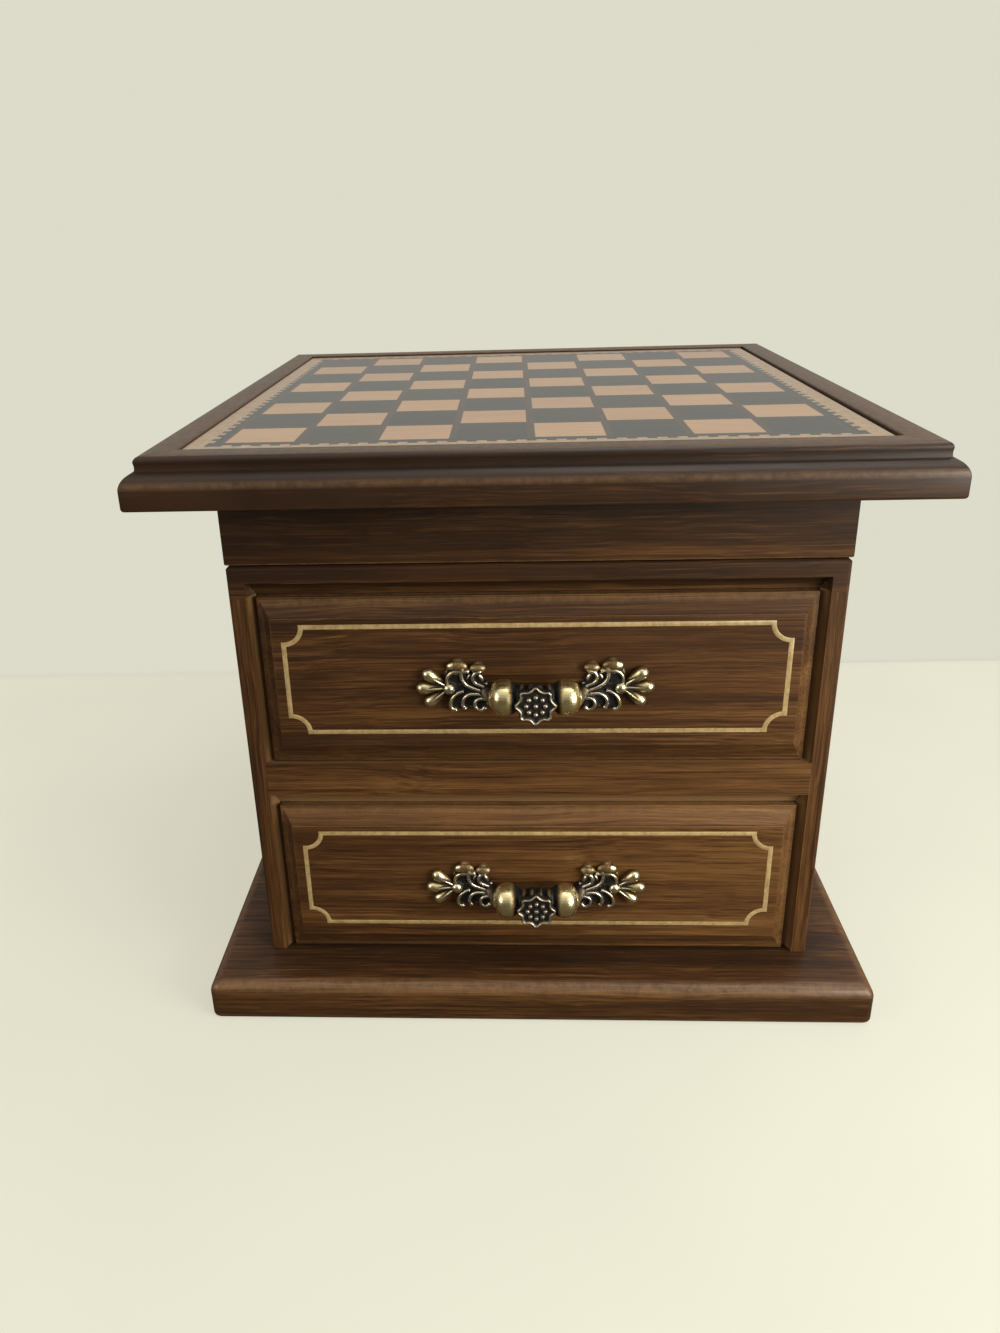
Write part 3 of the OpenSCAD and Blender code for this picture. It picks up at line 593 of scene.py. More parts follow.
def makeLid():
    f = lidFrame
    railZ, neckZ = edge("frame_front", 2, 0), edge("neck_front", 2, 0)
    neckOut = edge("neck_right", 0, 1)
    railShape = frameSection()
    neckShape = neckSection(neckOut - f["neckIn"], edge("neck_front", 2, 1) - neckZ)
    for quarter, side in enumerate(["front", "right", "back", "left"]):
        grain = "x" if quarter % 2 == 0 else "y"
        # The front rail and neck get painted light from the right, lighter towards the right
        drift = f["frontDrift"] if side == "front" else 0.0
        rail = pieceOf("moulded_rail_" + side, [mitredRail(*railShape, f["rebate"], railZ, quarter)])
        wood = walnutFinish("rail " + side, grain, 3.1 + quarter * 7.3, *f["rail"],
                            mitred=True, drift=drift)
        fit(rail, "lid", wood, "frame_" + side)
        if side == "back":  # stays the CAD node, because its hinge recesses show
            dress("neck_back", walnutFinish("neck back", "x", 18.4, *f["neckBack"]))
            continue
        neck = pieceOf("neck_board_" + side, [mitredRail(*neckShape, neckOut, neckZ, quarter)])
        wood = walnutFinish("neck " + side, grain, 11.7 + quarter * 5.9, *f["neck"],
                            mitred=True, drift=drift)
        fit(neck, "lid", wood, "neck_" + side)


plinthShape = {"nosing": 4.8, "arris": 2.0, "corner": 3.0, "wood": (-0.10, 0.3)}  # mm; tone and gloss


# Rounded squares stacked up: drawn in by the small lower arris and by the nosing's quarter arc
def makePlinth():
    half, height = edge("plinth", 0, 1), edge("plinth", 2, 1)
    wall = edge("case_side_right", 0, 1)
    arris, nosing = plinthShape["arris"], plinthShape["nosing"]
    lower = arc((half - arris, arris), arris, -90, 0, 4)
    upper = arc((half - nosing, height - nosing), nosing, 0, 90, 9)
    flat = [[half - nosing - 0.4, height], [wall + 0.6, height], [wall - 2, height]]
    # The rounded edges carry the pale mark of wear and painted highlight, and the top gets painted shade
    # growing towards the case, for the lid's shadow
    worn = np.concatenate([[0, 0.4, 0.6, 0.4, 0], np.sin(np.linspace(0, np.pi, 10)) * 0.55, np.zeros(3)])
    grime = np.concatenate([np.zeros(16), [0.75, 0.9]])
    rings = np.array([np.column_stack([roundedRect(r, r, plinthShape["corner"] - (half - r) * 0.2),
                                       np.full(24, z)]) for r, z in np.vstack([lower, upper, flat])])
    board = pieceOf("plinth_board", [shellOf(rings, worn=worn[:, None], grime=grime[:, None])])
    fit(board, "case", walnutFinish("plinth", "x", 41.0, *plinthShape["wood"]), "plinth")


# In mm: side, top and bottom are the bevels, and lapIn sets the edge in under the drawer's sides
front = {
    "side": 4.6, "top": 6.5, "bottom": 8.4, "lip": 1.2, "step": 0.5, "rise": 3.7, "arris": 0.35,
    "backRound": 0.3, "fieldRound": 0.2, "lapIn": 0.06, "inlayWidth": 1.75, "inlaySide": 4.3,
    "inlayTop": 3.2, "inlayBottom": 5.9, "inlayDepth": 0.6, "inlayEase": 0.12, "notch": 6.5, "proud": 0.05,
    # drift is painted light: the fronts grow lighter towards the right
    "gloss": 0.15, "drift": 0.0004,
    "drawers": {"upper": (131.0, -0.10), "lower": (157.0, -0.03)},  # seed and tone of the wood
}


# Rectangles nested from the back to the field: the edge, the lip, the bevels and the small step
def frontShell(half, low, high, fieldY, lapY, backY):
    f = front
    arris, lip, fieldRound = f["arris"], f["lip"], f["fieldRound"]
    lipY = fieldY + f["rise"]
    turn = np.radians(np.linspace(0, 90, 4))
    # The pale mark is stronger on the upper edges: wear, and painted highlight where the light falls from
    # above
    topMost = np.array([0.35, 0.35, 1, 1])  # the two upper corners are more worn
    rings, worn, grime = [], [], []

    # share goes from 0 at the lip to 1 at the field, and widens each side's bevel in step
    def ring(inset, share, y, wearAndHighlightWeight=0.0, shadeWeight=0.0):
        across, above, below = [inset + share * (f[side] - lip) for side in ("side", "top", "bottom")]
        x, z0, z1 = half - across, low + below, high - above
        rings.append([[-x, y, z0], [x, y, z0], [x, y, z1], [-x, y, z1]])
        worn.append(wearAndHighlightWeight * topMost)
        grime.append(shadeWeight * np.ones(4))

    ring(f["backRound"], 0, backY)
    ring(f["lapIn"], 0, backY - f["backRound"])
    ring(f["lapIn"], 0, lapY)
    ring(0, 0, lapY)
    # The lip's top face is painted pale as painted highlight; the crease at the field's step and the bevel's
    # foot are painted dark as painted shade
    ring(0, 0, lipY + arris + 3.2, 0.5, 0.2)
    ring(0, 0, lipY + arris + 2.4, 0.9)
    for angle in turn:
        ring(arris * (1 - math.cos(angle)), 0, lipY + arris * (1 - math.sin(angle)),
             0.8 * math.sin(2 * angle))
    ring(lip - 0.12, 0, lipY, 0.8)
    ring(lip, 0, lipY, 0.4, 0.2)
    ring(lip, 0.04, lipY - 0.13, 0.6, 0.05)
    for share, wearAndHighlightWeight, shadeWeight in [(0.12, 0.5, 0), (0.45, 0, 0), (0.9, 0, 0), (0.985, 0, 0.3)]:
        ring(lip, share, lipY - share * (f["rise"] - f["step"]), wearAndHighlightWeight, shadeWeight)
    ring(lip, 1, fieldY + f["step"], 0, 0.6)
    ring(lip, 1, fieldY + fieldRound, 0.2, 0.05)
    for angle in turn[1:]:
        ring(lip + fieldRound * (1 - math.cos(angle)), 1, fieldY + fieldRound * (1 - math.sin(angle)),
             0.9 * math.sin(2 * angle) + 0.1)
    ring(lip + 1.2, 1, fieldY)
    return shellOf(np.array(rings), worn=np.array(worn), grime=np.array(grime))


# The inlay's outline grown by a distance: straight sides move out and the corner arcs shrink
def notchedRing(halfX, low, high, grow, steps=10):
    radius = front["notch"] - grow
    lean = math.degrees(math.asin(grow / radius))
    corners = []
    for x, z, turn in [(halfX, low, 90), (halfX, high, 180), (-halfX, high, 270), (-halfX, low, 0)]:
        corners.append(arc((x, z), radius, turn + 90 + lean, turn - lean, steps))
    return np.vstack(corners)


# The outline at growing distances, at the depths of a flat strip with eased edges
def inlayShell(half, low, high, fieldY):
    f = front
    w, ease = f["inlayWidth"] / 2, f["inlayEase"]
    halfX = half - f["side"] - f["inlaySide"]
    z0, z1 = low + f["bottom"] + f["inlayBottom"], high - f["top"] - f["inlayTop"]
    rings = []
    across = [-w, -w, -w + ease, w - ease, w, w]
    depth = [f["inlayDepth"], 0.02, -f["proud"]]
    for grow, deep in zip(across, depth + depth[::-1]):
        plan = notchedRing(halfX, z0, z1, grow)
        rings.append(np.column_stack([plan[:, 0], np.full(len(plan), fieldY + deep), plan[:, 1]]))
    return shellOf(np.array(rings), looped=True)


def makeDrawerFront(drawer, creamLine):
    node, body = drawer + "_drawer_front", drawer + "_drawer"
    half, low, high = edge(node, 0, 1), edge(node, 2, 0), edge(node, 2, 1)
    fieldY, lapY = edge(node, 1, 0), edge(drawer + "_drawer_left_side", 1, 0)
    seed, tone = front["drawers"][drawer]
    shell = frontShell(half, low, high, fieldY, lapY, edge(node, 1, 1))
    wood = walnutFinish(drawer + " front", "x", seed, tone, front["gloss"], drift=front["drift"])
    fit(pieceOf(drawer + "_front_board", [shell], 24), body, wood, node)
    line = pieceOf(drawer + "_inlay_ribbon", [inlayShell(half, low, high, fieldY)])
    fit(line, body, creamLine, drawer + "_inlay_line")


# In mm and degrees, each leaf seen from its hub with x outwards and y up. A strand has a start, a heading
# and arcs of (radius, sweep), to the left where the radius is positive
pull = {
    "hub": 29.7, "bulb": 10.5, "bulbRadius": 6.3, "bulbHalf": 4.4, "bow": 9.4, "bar": 4.0,
    "plate": 2.4, "rod": 0.66, "boss": 2.8, "knob": (2.1, 2.1, 1.8), "stem": ((-13.4, -3.9), (0, 1.9)),
    "starFace": 16.6, "starRadius": 7.3, "starThick": 2.4, "starSunk": 0.75, "bead": 0.95,
    "beadRing": 0.44, "cutCentre": 1.36, "cutRadius": 0.505,  # shares of the star's radius
    "rimIn": 0.68, "rimWidth": 0.6, "voxel": 0.22, "smoothing": 2,
    "armInner": 12, "armPast": 2.6, "bulbEnds": (7.7, 16.2),
    "tips": [(36, 9.2, 2.15), (0, 9.8, 2.0), (-37, 9.0, 1.9)],  # angle, length, radius
    "lobes": [(-2.2, 5, 3.7), (-8.8, 2.4, 3.4), (-3, -4.9, 3.3), (-7, -4.6, 3.2), (-10.9, -4.9, 3.1)],
    "domes": [(-2.8, 8.2, 2.5), (-10, 7.6, 1.9)],
    "strands": [
        ((-13.6, -1.7), 16, [(40, 10), (5, 62), (6, 20)]),
        ((0.3, 1.4), 60, [(3.5, 120), (60, 3.5)]),
        ((-13.6, 0.1), 20, [(40, 6), (2.6, 64), (2.2, 90)]),
        ((-5, -1.1), -5, [(-5.2, 85), (-2, 80)]),
        ((-13.6, -3), 20, [(-16, 20), (-3.6, 90), (-3, 40)]),
        ((-13.6, -4.4), 22, [(-7, 22), (-2.2, 180), (-1.3, 60)]),
    ],
}


# Each arc begins where the last one ends, with its centre square to the heading
def strandPath(start, heading, arcs, pitch=0.35):
    points = [np.array([start])]
    place = np.array(start, float)
    for radius, sweep in arcs:
        side = math.copysign(1, radius)
        square = np.array([-math.sin(math.radians(heading)), math.cos(math.radians(heading))])
        steps = max(3, int(abs(radius) * math.radians(sweep) / pitch))
        first = heading - 90 * side
        line = arc(place + radius * square, abs(radius), first, first + side * sweep, steps)[1:]
        points.append(line)
        place = line[-1]
        heading += side * sweep
    return np.vstack(points)


# A section square to the path: one axis lies in the leaf's plane, and the other is scaled by squash
def tube(path, radii, squash=1.0, columns=12):
    run = np.gradient(path, axis=0)
    run /= np.linalg.norm(run, axis=1, keepdims=True)
    up = np.array([0, 0, 1.0]) - run * run[:, 2:]
    up /= np.linalg.norm(up, axis=1, keepdims=True)
    across = np.cross(run, up)
    radii = np.broadcast_to(radii, len(path))[:, None]
    level, rise = radii * np.cos(fullTurn(columns)), radii * np.sin(fullTurn(columns)) * squash
    return shellOf(path[:, None] + across[:, None] * level[..., None] + up[:, None] * rise[..., None])


# An ellipsoid by latitude and longitude, its poles closed by small flat caps
def blob(centre, radii, rows=12, columns=18):
    rx, ry, rz = radii
    tilt = np.radians(np.linspace(-88, 88, rows))[:, None]
    turn = fullTurn(columns)
    grid = np.stack([rx * np.cos(tilt) * np.cos(turn), ry * np.cos(tilt) * np.sin(turn),
                     rz * np.sin(tilt) + 0 * turn], -1)
    return shellOf(grid + np.array(centre, float))


# Radii at places along x, turned round an axis through the centre
def turnedAlongX(x, radii, centre, columns=40):
    turn = fullTurn(columns)
    x, radii = x[:, None], radii[:, None]
    grid = np.stack([x + 0 * turn, radii * np.cos(turn), radii * np.sin(turn)], -1)
    return shellOf(grid + np.array(centre, float))


# A low round boss on the face: straight walls and a quarter-arc edge
def puck(x, y, radius, height, columns=28):
    ease = min(0.9, radius * 0.5)
    rim = arc((radius - ease, height - ease), ease, 0, 90, 4)
    profile = np.vstack([[[radius, 0.0]], rim])
    turn = fullTurn(columns)
    return shellOf(np.stack([x + profile[:, :1] * np.cos(turn), y + profile[:, :1] * np.sin(turn),
                             profile[:, 1:] + 0 * turn], -1))


# A teardrop and the thin ridge on it: its half width is a squared sine, and its end a circle
def petal(angle, length, radius, top):
    out = np.array([math.cos(math.radians(angle)), math.sin(math.radians(angle))])
    t = np.linspace(0.1, 1, 22)
    width = 0.55 + (radius - 0.35) * np.sin(np.pi * np.clip(t * 0.62, 0, 1)) ** 2
    width = width * np.sqrt(np.clip(1 - ((t - 0.8) / 0.215).clip(0) ** 2, 0.03, 1))
    reach = t * (length + radius * 0.9)
    body = np.column_stack([out[0] * reach, out[1] * reach, top - 1.3 + 0.5 * t])
    ridge = np.column_stack([body[:, :2], top - 0.55 + width * 0.55 + 0.2 * t])[:19]
    return [tube(body, width, 1.0, 20), tube(ridge, 0.42 + 0.1 * t[:19])]


# One leaf seen from the front, x outwards from its middle bead, y up, z out from the drawer
def leafShells():
    top = pull["plate"]
    (stemX, stemY), (stemEndX, stemEndY) = pull["stem"]
    shells = [puck(x, y, radius, top - 0.5) for x, y, radius in pull["lobes"]]
    shells.append(puck(0, 0, pull["boss"], top))
    shells.append(softBlock((stemX, stemY, 0), (stemEndX, stemEndY, top - 0.4), 0.5))
    for angle, length, radius in pull["tips"]:
        shells += petal(angle, length, radius, top)
    for x, y, radius in pull["domes"]:
        shells.append(puck(x, y, radius, top - 0.6))
        shells.append(blob((x, y - 0.2, top - 0.9), (radius * 1.5, radius * 0.88, 1.55)))
        lip = arc((x, y - radius * 0.1), radius * 0.92, 200, 340, 18)
        shells.append(tube(np.column_stack([lip, np.full(len(lip), top - 0.1)]), 0.42))
    shells.append(blob((0, 0, top), pull["knob"]))
    for start, heading, arcs in pull["strands"]:
        line = strandPath(start, heading, arcs)
        t = np.linspace(0, 1, len(line))
        height = top - 0.25 + 0.3 * np.sin(t * math.pi)
        shells.append(tube(np.column_stack([line, height]), pull["rod"] * (0.9 + 0.25 * t), 1.25))
        shells.append(blob((*line[-1], height[-1]), (0.95, 0.95, 1.1), 10, 14))
    return shells


# Moves a shell out to its hub, or mirrors it to the other side and turns its faces back
def placed(shell, x, mirrored):
    flat, faces, marks = shell
    flat = flat + np.array([x, 0, 0])
    if mirrored:
        flat = flat * np.array([-1, 1, 1])
        faces = [face[::-1] for face in faces]
    return flat, faces, marks


# The arm rises by a power from the leaf to its bulb and grows thicker
def armShell():
    t = np.linspace(0, 1, 24)
    start, end = pull["hub"] - pull["armInner"], pull["bulb"] + pull["armPast"]
    z = 1.0 + (pull["bow"] - 1.6) * t ** 1.3
    return tube(np.column_stack([start + (end - start) * t, -1.0 - 0.4 * t, z]), 2.0 + 1.2 * t, 1.0, 24)


# A round bulb along x: its radius is a flattened circle's
def bulbShell():
    t = np.linspace(-1, 1, 26)
    radius = pull["bulbRadius"] * np.sqrt(np.maximum(1 - (np.abs(t) ** 2.6) * 0.62, 0))
    return turnedAlongX(t * pull["bulbHalf"], radius, (pull["bulb"], 0, pull["bow"]))


# Bell curves add a bead at each side of the bar and a swelling beside its middle
def barShell():
    x = np.linspace(-pull["bulb"], pull["bulb"], 90)
    bead = 0.9 * np.exp(-((np.abs(x) - 5.9) / 0.55) ** 2)
    swelling = 0.7 * np.exp(-((np.abs(x) - 1.6) / 1.3) ** 2)
    return turnedAlongX(x, pull["bar"] + bead + swelling, (0, 0, pull["bow"]))


# Four short petals behind the star, each with a second one below
def petalShells():
    z = pull["bow"] + 1.6
    shells = []
    for x in (-4.6, -1.55, 1.55, 4.6):
        shells += [blob((x, 1.6, z), (1.55, 4.3, 2.7)), blob((x, -1.4, z), (1.55, 3.8, 2.6))]
    return shells


# A disc whose edge is cut by eight circles: the nearer of the disc and the circle along each ray
def starRadii(angle):
    radius = pull["starRadius"]
    centre, cut = pull["cutCentre"] * radius, pull["cutRadius"] * radius
    turn = np.mod(angle, math.pi / 4) - math.pi / 8
    under = cut ** 2 - (centre * np.sin(turn)) ** 2
    near = centre * np.cos(turn) - np.sqrt(np.maximum(under, 0))
    return np.where(under > 0, np.minimum(near, radius), radius)


# Rings from the middle to the scalloped edge: sunk floor with nine beads, raised rim, rounded side
def starShell():
    angle = fullTurn(160)
    edgeRadius = starRadii(angle)
    share = np.concatenate([np.linspace(0.02, 0.80, 30), np.linspace(0.815, 1.0, 12)])[:, None]
    radius = share * edgeRadius
    fromEdge = edgeRadius - radius
    rim = pull["starSunk"] * np.exp(-((fromEdge - pull["rimIn"]) / pull["rimWidth"]) ** 2)
    x, y = radius * np.cos(angle), radius * np.sin(angle)
    beads = np.zeros_like(x)
    for bead in range(9):  # eight in a ring, and the last one in the middle
        turn = bead * math.pi / 4
        out = pull["beadRing"] * pull["starRadius"] if bead < 8 else 0
        away = (x - out * math.cos(turn)) ** 2 + (y - out * math.sin(turn)) ** 2
        beads = np.maximum(beads, np.sqrt(np.maximum(pull["bead"] ** 2 - away, 0)))
    roundOff = 0.5 * np.clip(1 - fromEdge / 0.3, 0, 1) ** 2
    z = pull["starThick"] - pull["starSunk"] + rim + beads * 0.95 - roundOff
    rub = np.clip(rim * 0.95, 0, 1) + np.clip(beads / pull["bead"] * 1.3 - 0.4, 0, 1) - roundOff * 0.5

    def sideRing(scale, height):
        return np.stack([edgeRadius * scale * np.cos(angle), edgeRadius * scale * np.sin(angle),
                         height + 0 * angle], -1)

    grid = np.concatenate([sideRing(0.9, 0), sideRing(1.0, 0.3), np.stack([x, y, z], -1)[::-1]], 0)
    grid[:, :, 2] += pull["starFace"] - pull["starThick"]
    rub = np.concatenate([np.zeros((2, rub.shape[1])), rub[::-1]], 0)
    return shellOf(grid, rub=rub, gild=0.1)


# One field of a mesh's points or edges, as rows
def fieldRows(elements, field, width, kind=float):
    values = np.empty(len(elements) * width, kind)
    elements.foreach_get(field, values)
    return values.reshape(-1, width)


# Skins all the shells as one casting: a voxel remesh of their union, then a light smoothing
def castTogether(shells):
    piece = pieceOf("casting", shells, markNames=())
    remesh = piece.modifiers.new("skin", "REMESH")
    remesh.mode = "VOXEL"
    remesh.voxel_size = pull["voxel"] * mm
    soften = piece.modifiers.new("soften", "SMOOTH")
    soften.factor = 0.5
    soften.iterations = pull["smoothing"]
    skin = bpy.data.meshes.new_from_object(piece.evaluated_get(bpy.context.evaluated_depsgraph_get()))
    points = fieldRows(skin.vertices, "co", 3) / mm
    normals = fieldRows(skin.vertices, "normal", 3)
    edges = fieldRows(skin.edges, "vertices", 2, np.int64)
    faces = [list(face.vertices) for face in skin.polygons]
    bpy.data.objects.remove(piece)
    bpy.data.meshes.remove(skin)
    return points, faces, rubbed(points, normals, edges)


# Mean of the values at a point's neighbours, for whole arrays
def neighbourMean(values, edges):
    total = np.zeros(values.shape)
    np.add.at(total, edges[:, 0], values[edges[:, 1]])
    np.add.at(total, edges[:, 1], values[edges[:, 0]])
    valence = np.bincount(edges.ravel(), minlength=len(values)).reshape((-1,) + (1,) * (values.ndim - 1))
    return total / np.maximum(valence, 1)


# Two marks for each point. rub: ridges, which stand out from the mean of their neighbours, and high parts
# that face the front are bright. gild: bulbs, domes and tips are yellow
def rubbed(points, normals, edges):
    mean = points
    for _ in range(5):
        mean = neighbourMean(mean, edges)
    bulge = np.sum((points - mean) * normals, 1)
    for _ in range(2):
        bulge = neighbourMean(bulge, edges)
    ridge = np.clip(bulge / 0.06, -1, 1.5)
    reach = np.abs(points[:, 0])
    fromHub = np.hypot(reach - pull["hub"], points[:, 1])
    stand = np.clip((points[:, 2] - 2.0) / 1.0, 0, 1)
    facing = np.clip(normals[:, 2] * 1.6 - 0.1, 0, 1)
    tips = (reach > pull["hub"] - 1.5) * 1.0
    domes = np.clip((points[:, 1] - 6.4) / 0.8, 0, 1) * (1 - tips)
    petalSide = tips * (1 - np.clip((fromHub - 6.5) / 2.5, 0, 1)) * np.clip((fromHub - 2.4) / 0.4, 0, 1)
    high = (0.7 - 0.16 * tips) * stand * facing * (1 - petalSide * 0.75)
    leaf = np.clip(0.04 + 1.1 * ridge * (0.4 + 0.6 * facing) + high, 0, 1)
    leaf = leaf * (1 - domes) + np.clip(0.32 + 0.25 * ridge, 0.1, 1) * domes
    inner, outer = pull["bulbEnds"]
    bulb = np.clip((reach - inner) / 2.2, 0, 1) * np.clip((outer - reach) / 0.8, 0, 1)
    bulb = bulb * np.clip((points[:, 2] - 5.5) / 2.5, 0, 1)
    onLeaf = reach > outer
    rub = np.where(onLeaf, leaf, 0.04 + 0.16 * np.clip(ridge, 0, 1) + 0.9 * bulb)
    gild = np.where(onLeaf, 0.1 + 0.6 * tips * np.clip(fromHub / 3, 0.5, 1) + 0.6 * domes, 0.85)
    return {"rub": np.clip(rub, 0, 1), "gild": np.clip(gild, 0, 1)}


# Turns the casting to face the front: x stays, y becomes up, z becomes out towards the viewer
def makePull(drawer, casting, star, finish):
    node = drawer + "_drawer_front"
    fieldY, middle = edge(node, 1, 0), (edge(node, 2, 0) + edge(node, 2, 1)) / 2
    shells = []
    for flat, faces, marks in (casting, star):
        turned = np.column_stack([flat[:, 0], fieldY - flat[:, 2], middle + flat[:, 1]])
        shells.append((turned, faces, marks))
    piece = pieceOf(drawer + "_leaf_pull", shells, 60, ("rub", "gild"))
    fit(piece, drawer + "_drawer", finish, drawer + "_pull")


# The photo's camera: place in mm, turns in radians, lens and middle in the photo's pixels
cameraFit = {
    "place": (-6.07, -413.1, 284.97), "yaw": -0.054, "pitch": 0.375, "roll": -0.031, "sensor": 36,
    "focalPixels": 972.55, "middleX": 467.38, "middleY": 604.33, "width": 1000, "height": 1333,
}


# Yaw and pitch give the way forward, and roll turns the level and the upright round it
def makeCamera():
    c = cameraFit
    yaw, pitch, roll = c["yaw"], c["pitch"], c["roll"]
    forward = Vector((math.sin(yaw) * math.cos(pitch), math.cos(yaw) * math.cos(pitch), -math.sin(pitch)))
    level = Vector((math.cos(yaw), -math.sin(yaw), 0))
    upright = level.cross(forward)
    right = level * math.cos(roll) + upright * math.sin(roll)
    up = upright * math.cos(roll) - level * math.sin(roll)
    camera = bpy.data.objects.new("camera", bpy.data.cameras.new("camera"))
    camera.data.sensor_width = c["sensor"]
    camera.data.lens = c["focalPixels"] * c["sensor"] / c["height"]
    camera.data.shift_x = (c["width"] / 2 - c["middleX"]) / c["height"]
    camera.data.shift_y = (c["middleY"] - c["height"] / 2) / c["height"]
    camera.data.clip_start = 0.01
    turn = Matrix((right, up, -forward)).transposed().to_4x4()
    camera.matrix_world = Matrix.Translation(Vector(c["place"]) * mm) @ turn
    bpy.context.scene.collection.objects.link(camera)
    bpy.context.scene.camera = camera


# The paint ends at a line in mm (tableEdge, slope, blur), with painted shade of a width and a weight at its
# foot
stage = {
    "reach": 4000.0, "tableEdge": 189.5, "slope": 0.0212, "blur": 0.7, "foot": (7, 0.06),
    "seen": srgb(138, 136, 126), "bounced": srgb(84, 79, 70), "lift": (0.51, 0.50, 0.41, 1),
    "wall": srgb(221, 219, 202), "black": (0, 0, 0, 1), "mottle": 0.94,
}


# A mottled table up to a slanting line, and a wall's even tone beyond it. The camera sees it lifted, and
# other rays meet a dimmer surface
def stageFinish():
    finish = Finish("table paint", Specular_IOR_Level=0.0, Emission_Strength=1.0)
    seen = finish.node("LightPath", {}, {}, "Is Camera Ray")
    x, y, z = finish.parts()
    past = y - x * stage["slope"] - stage["tableEdge"]
    wall = past.step(-stage["blur"], stage["blur"])
    footWidth, footWeight = stage["foot"]
    # Painted shade along the line where the table meets the painted wall
    foot = (1 - past.abs().step(0, footWidth)) * footWeight
    mottle = finish.noise(0.01, 4.0)
    darker = (*[stage["mottle"] * part for part in stage["seen"][:3]], 1.0)
    pale = finish.mix(wall, finish.mix(mottle.step(0.4, 0.75), stage["seen"], darker), stage["black"])
    lift = finish.mix(foot, finish.mix(wall, stage["lift"], stage["wall"]), stage["bounced"])
    return finish.done(Base_Color=finish.mix(seen, stage["bounced"], pale),
                       Emission_Color=finish.mix(seen, stage["black"], lift),
                       Roughness=(mottle * 0.1 + 0.7).clamp())


# One level table top. What stands behind it is the world's own pale tone
def makeStage():
    far = stage["reach"] * mm
    mesh = bpy.data.meshes.new("table_top")
    mesh.from_pydata([[-far, -far, 0], [far, -far, 0], [far, far, 0], [-far, far, 0]], [], [[0, 1, 2, 3]])
    piece = bpy.data.objects.new("table_top", mesh)
    bpy.context.scene.collection.objects.link(piece)
    mesh.materials.append(stageFinish())


# Strengths of the sky in front and of the wall's glow behind, and where they join. A lamp has a name, a
# place and a target in metres, a size, its watts and a colour
light = {
    "horizon": 0.08, "zenith": 1.4, "bend": 1.5, "front": 0.5, "wall": 0.4, "tint": (1.0, 0.97, 0.88, 1),
    "join": 0.03, "overhead": (0.985, 0.999),
    "lamps": [
        ("ceiling", (0.5, 0.1, 1.5), (0.05, 0.0, 0.1), (1.6, 1.2), 11, (1.0, 0.98, 0.94)),
        ("right window", (0.44, -0.42, 0.24), (0.0, -0.08, 0.12), (0.34, 0.34), 3.9, (0.98, 1.0, 0.92)),
        ("left window", (-0.75, -0.55, 0.4), (0.0, -0.1, 0.12), (0.45, 0.45), 2.2, (1.0, 0.98, 0.94)),
    ],
}


def makeLamp(name, place, target, size, power, colour):
    source = bpy.data.lights.new(name, "AREA")
    source.shape = "RECTANGLE"
    source.size, source.size_y = size
    source.energy = power
    source.color = colour
    holder = bpy.data.objects.new(name, source)
    bpy.context.scene.collection.objects.link(holder)
    holder.location = place
    holder.rotation_euler = (Vector(target) - Vector(place)).to_track_quat("-Z", "Y").to_euler()


# In front a sky that grows with a power of the height, behind the glow of a pale wall, and for the camera
# the wall's own tone all round
def makeLight():
    world = bpy.data.worlds.new("room")
    bpy.context.scene.world = world
    world.use_nodes = True
    room = Nodes(world.node_tree)
    across, back, height = room.parts(room.node("TexCoord", {}, {}, "Generated"))
    height = height.clamp()
    sky = height.power(light["bend"]) * (back * light["front"] + 1) * light["zenith"] + light["horizon"]
    wall = back.step(-light["join"], light["join"]) * (1 - height.step(*light["overhead"]))
    glow = room.tree.nodes["Background"]
    glow.inputs["Color"].default_value = light["tint"]
    plug(room.tree, glow.inputs["Strength"], sky * (1 - wall) + wall * light["wall"])
    seen = room.node("Background", {}, {"Color": stage["wall"]})
    camera = room.node("LightPath", {}, {}, "Is Camera Ray")
    both = room.node("MixShader", {}, {0: camera, 1: Sock(room.tree, glow.outputs[0]), 2: seen})
    plug(room.tree, room.tree.nodes["World Output"].inputs["Surface"], both)
    for lamp in light["lamps"]:
        makeLamp(*lamp)


say("camera and stage")
bpy.context.scene.view_settings.view_transform = "Standard"
makeCamera()
makeStage()
makeLight()

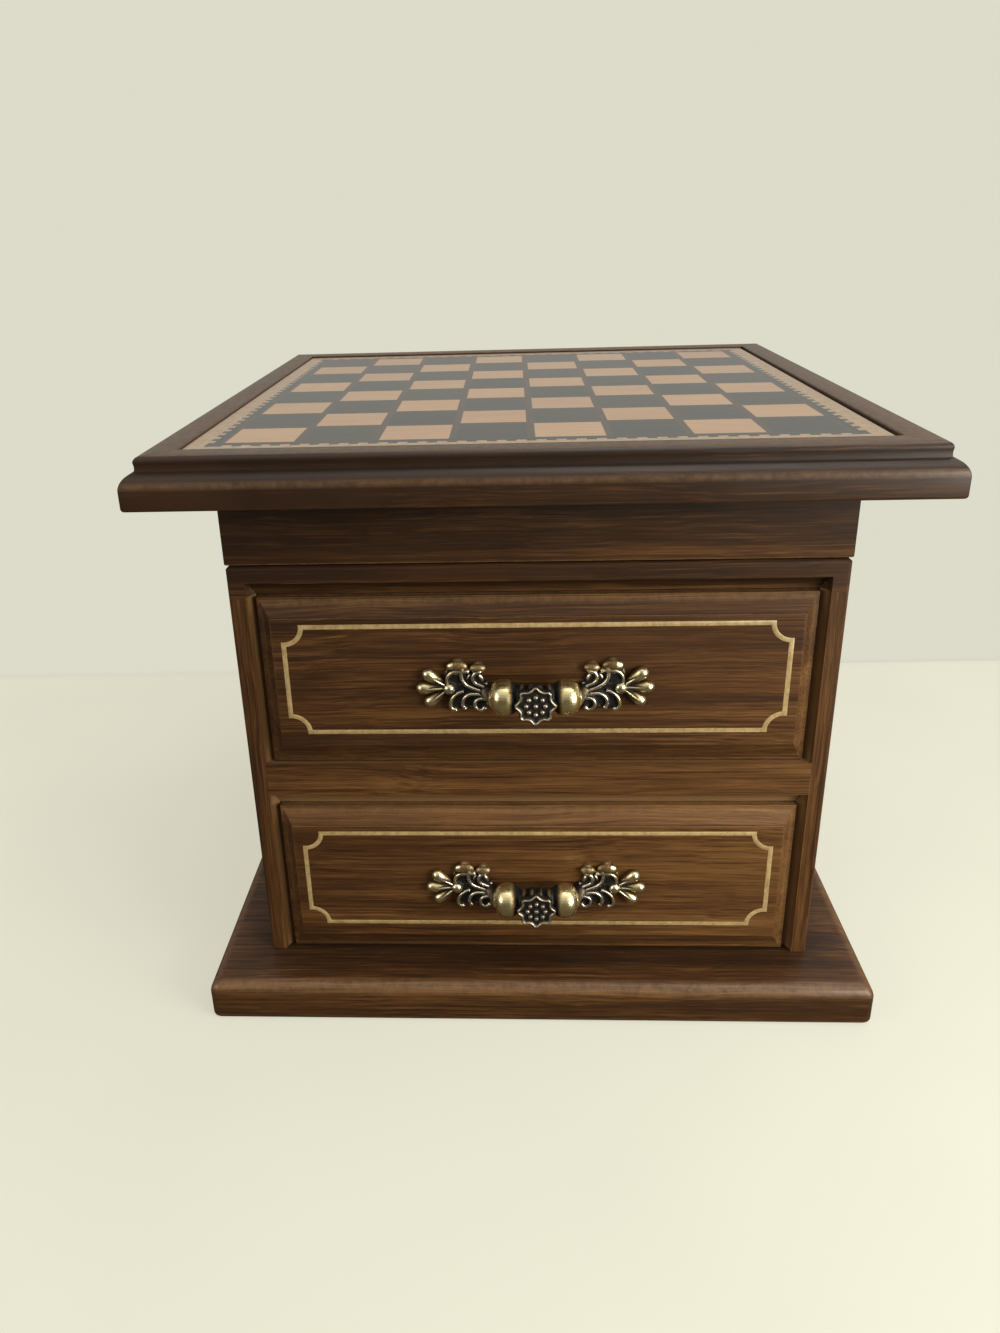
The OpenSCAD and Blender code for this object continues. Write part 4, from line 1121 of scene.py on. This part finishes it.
say("lid")
makeLid()
dress("board_core", plainFinish("board core", "x", 6.0))
dress("light_squares", lightVeneer())
dress("dark_field", darkVeneer())
dress("board_border", borderVeneer())

say("case")
makePlinth()
# A cove above 0 paints the coves' insides pale as painted light, and one below 0 darkens them as painted
# shade
dress("case_side_left", walnutFinish("left side", "z", 52.0, -0.10, 0.15, cove=0.4))
dress("case_side_right", walnutFinish("right side", "z", 61.0, -0.07, 0.15, cove=0.8))
dress("case_top", walnutFinish("case top", "x", 73.0, -0.15, 0.15, cove=-0.5))
dress("middle_rail", walnutFinish("middle rail", "x", 85.0, -0.02, 0.15, cove=0.9))
dress("case_back", walnutFinish("back board", "z", 97.0, -0.05, 0.1))
runnerWood = plainFinish("runner", "y", 12.0)
for node in ("runner_left", "runner_right"):
    dress(node, runnerWood)
dress("dust_panel", plainFinish("dust panel", "x", 22.0))

say("drawers")
creamLine = inlayFinish()
sideWood = plainFinish("drawer side", "y", 31.0)
drawerWoods = {
    "left_side": sideWood, "right_side": sideWood, "back": plainFinish("drawer back", "x", 33.0),
    "bottom": plainFinish("drawer bottom", "x", 37.0), "lining": baizeFinish(),
}
for drawer in front["drawers"]:
    makeDrawerFront(drawer, creamLine)
    for part, finish in drawerWoods.items():
        dress(f"{drawer}_drawer_{part}", finish)

say("pulls")
agedBrass = castBrass()
castShells = []
for mirrored in (False, True):
    castShells += [placed(shell, pull["hub"], mirrored) for shell in leafShells()]
    castShells += [placed(armShell(), 0, mirrored), placed(bulbShell(), 0, mirrored)]
casting = castTogether(castShells + [barShell()] + petalShells())
star = starShell()
for drawer in front["drawers"]:
    makePull(drawer, casting, star, agedBrass)

say("hinges and screws")
hingeBrass, steel = brushedMetal("hinge brass"), brushedMetal("screw steel")
for node in ("case_hinge_leaves", "lid_hinge_leaves", "hinge_pins", "case_hinge_screws", "lid_hinge_screws"):
    dress(node, hingeBrass)
for node in ("plinth_screws", "upper_pull_screws", "lower_pull_screws"):
    dress(node, steel)

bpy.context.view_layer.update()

say("finish")
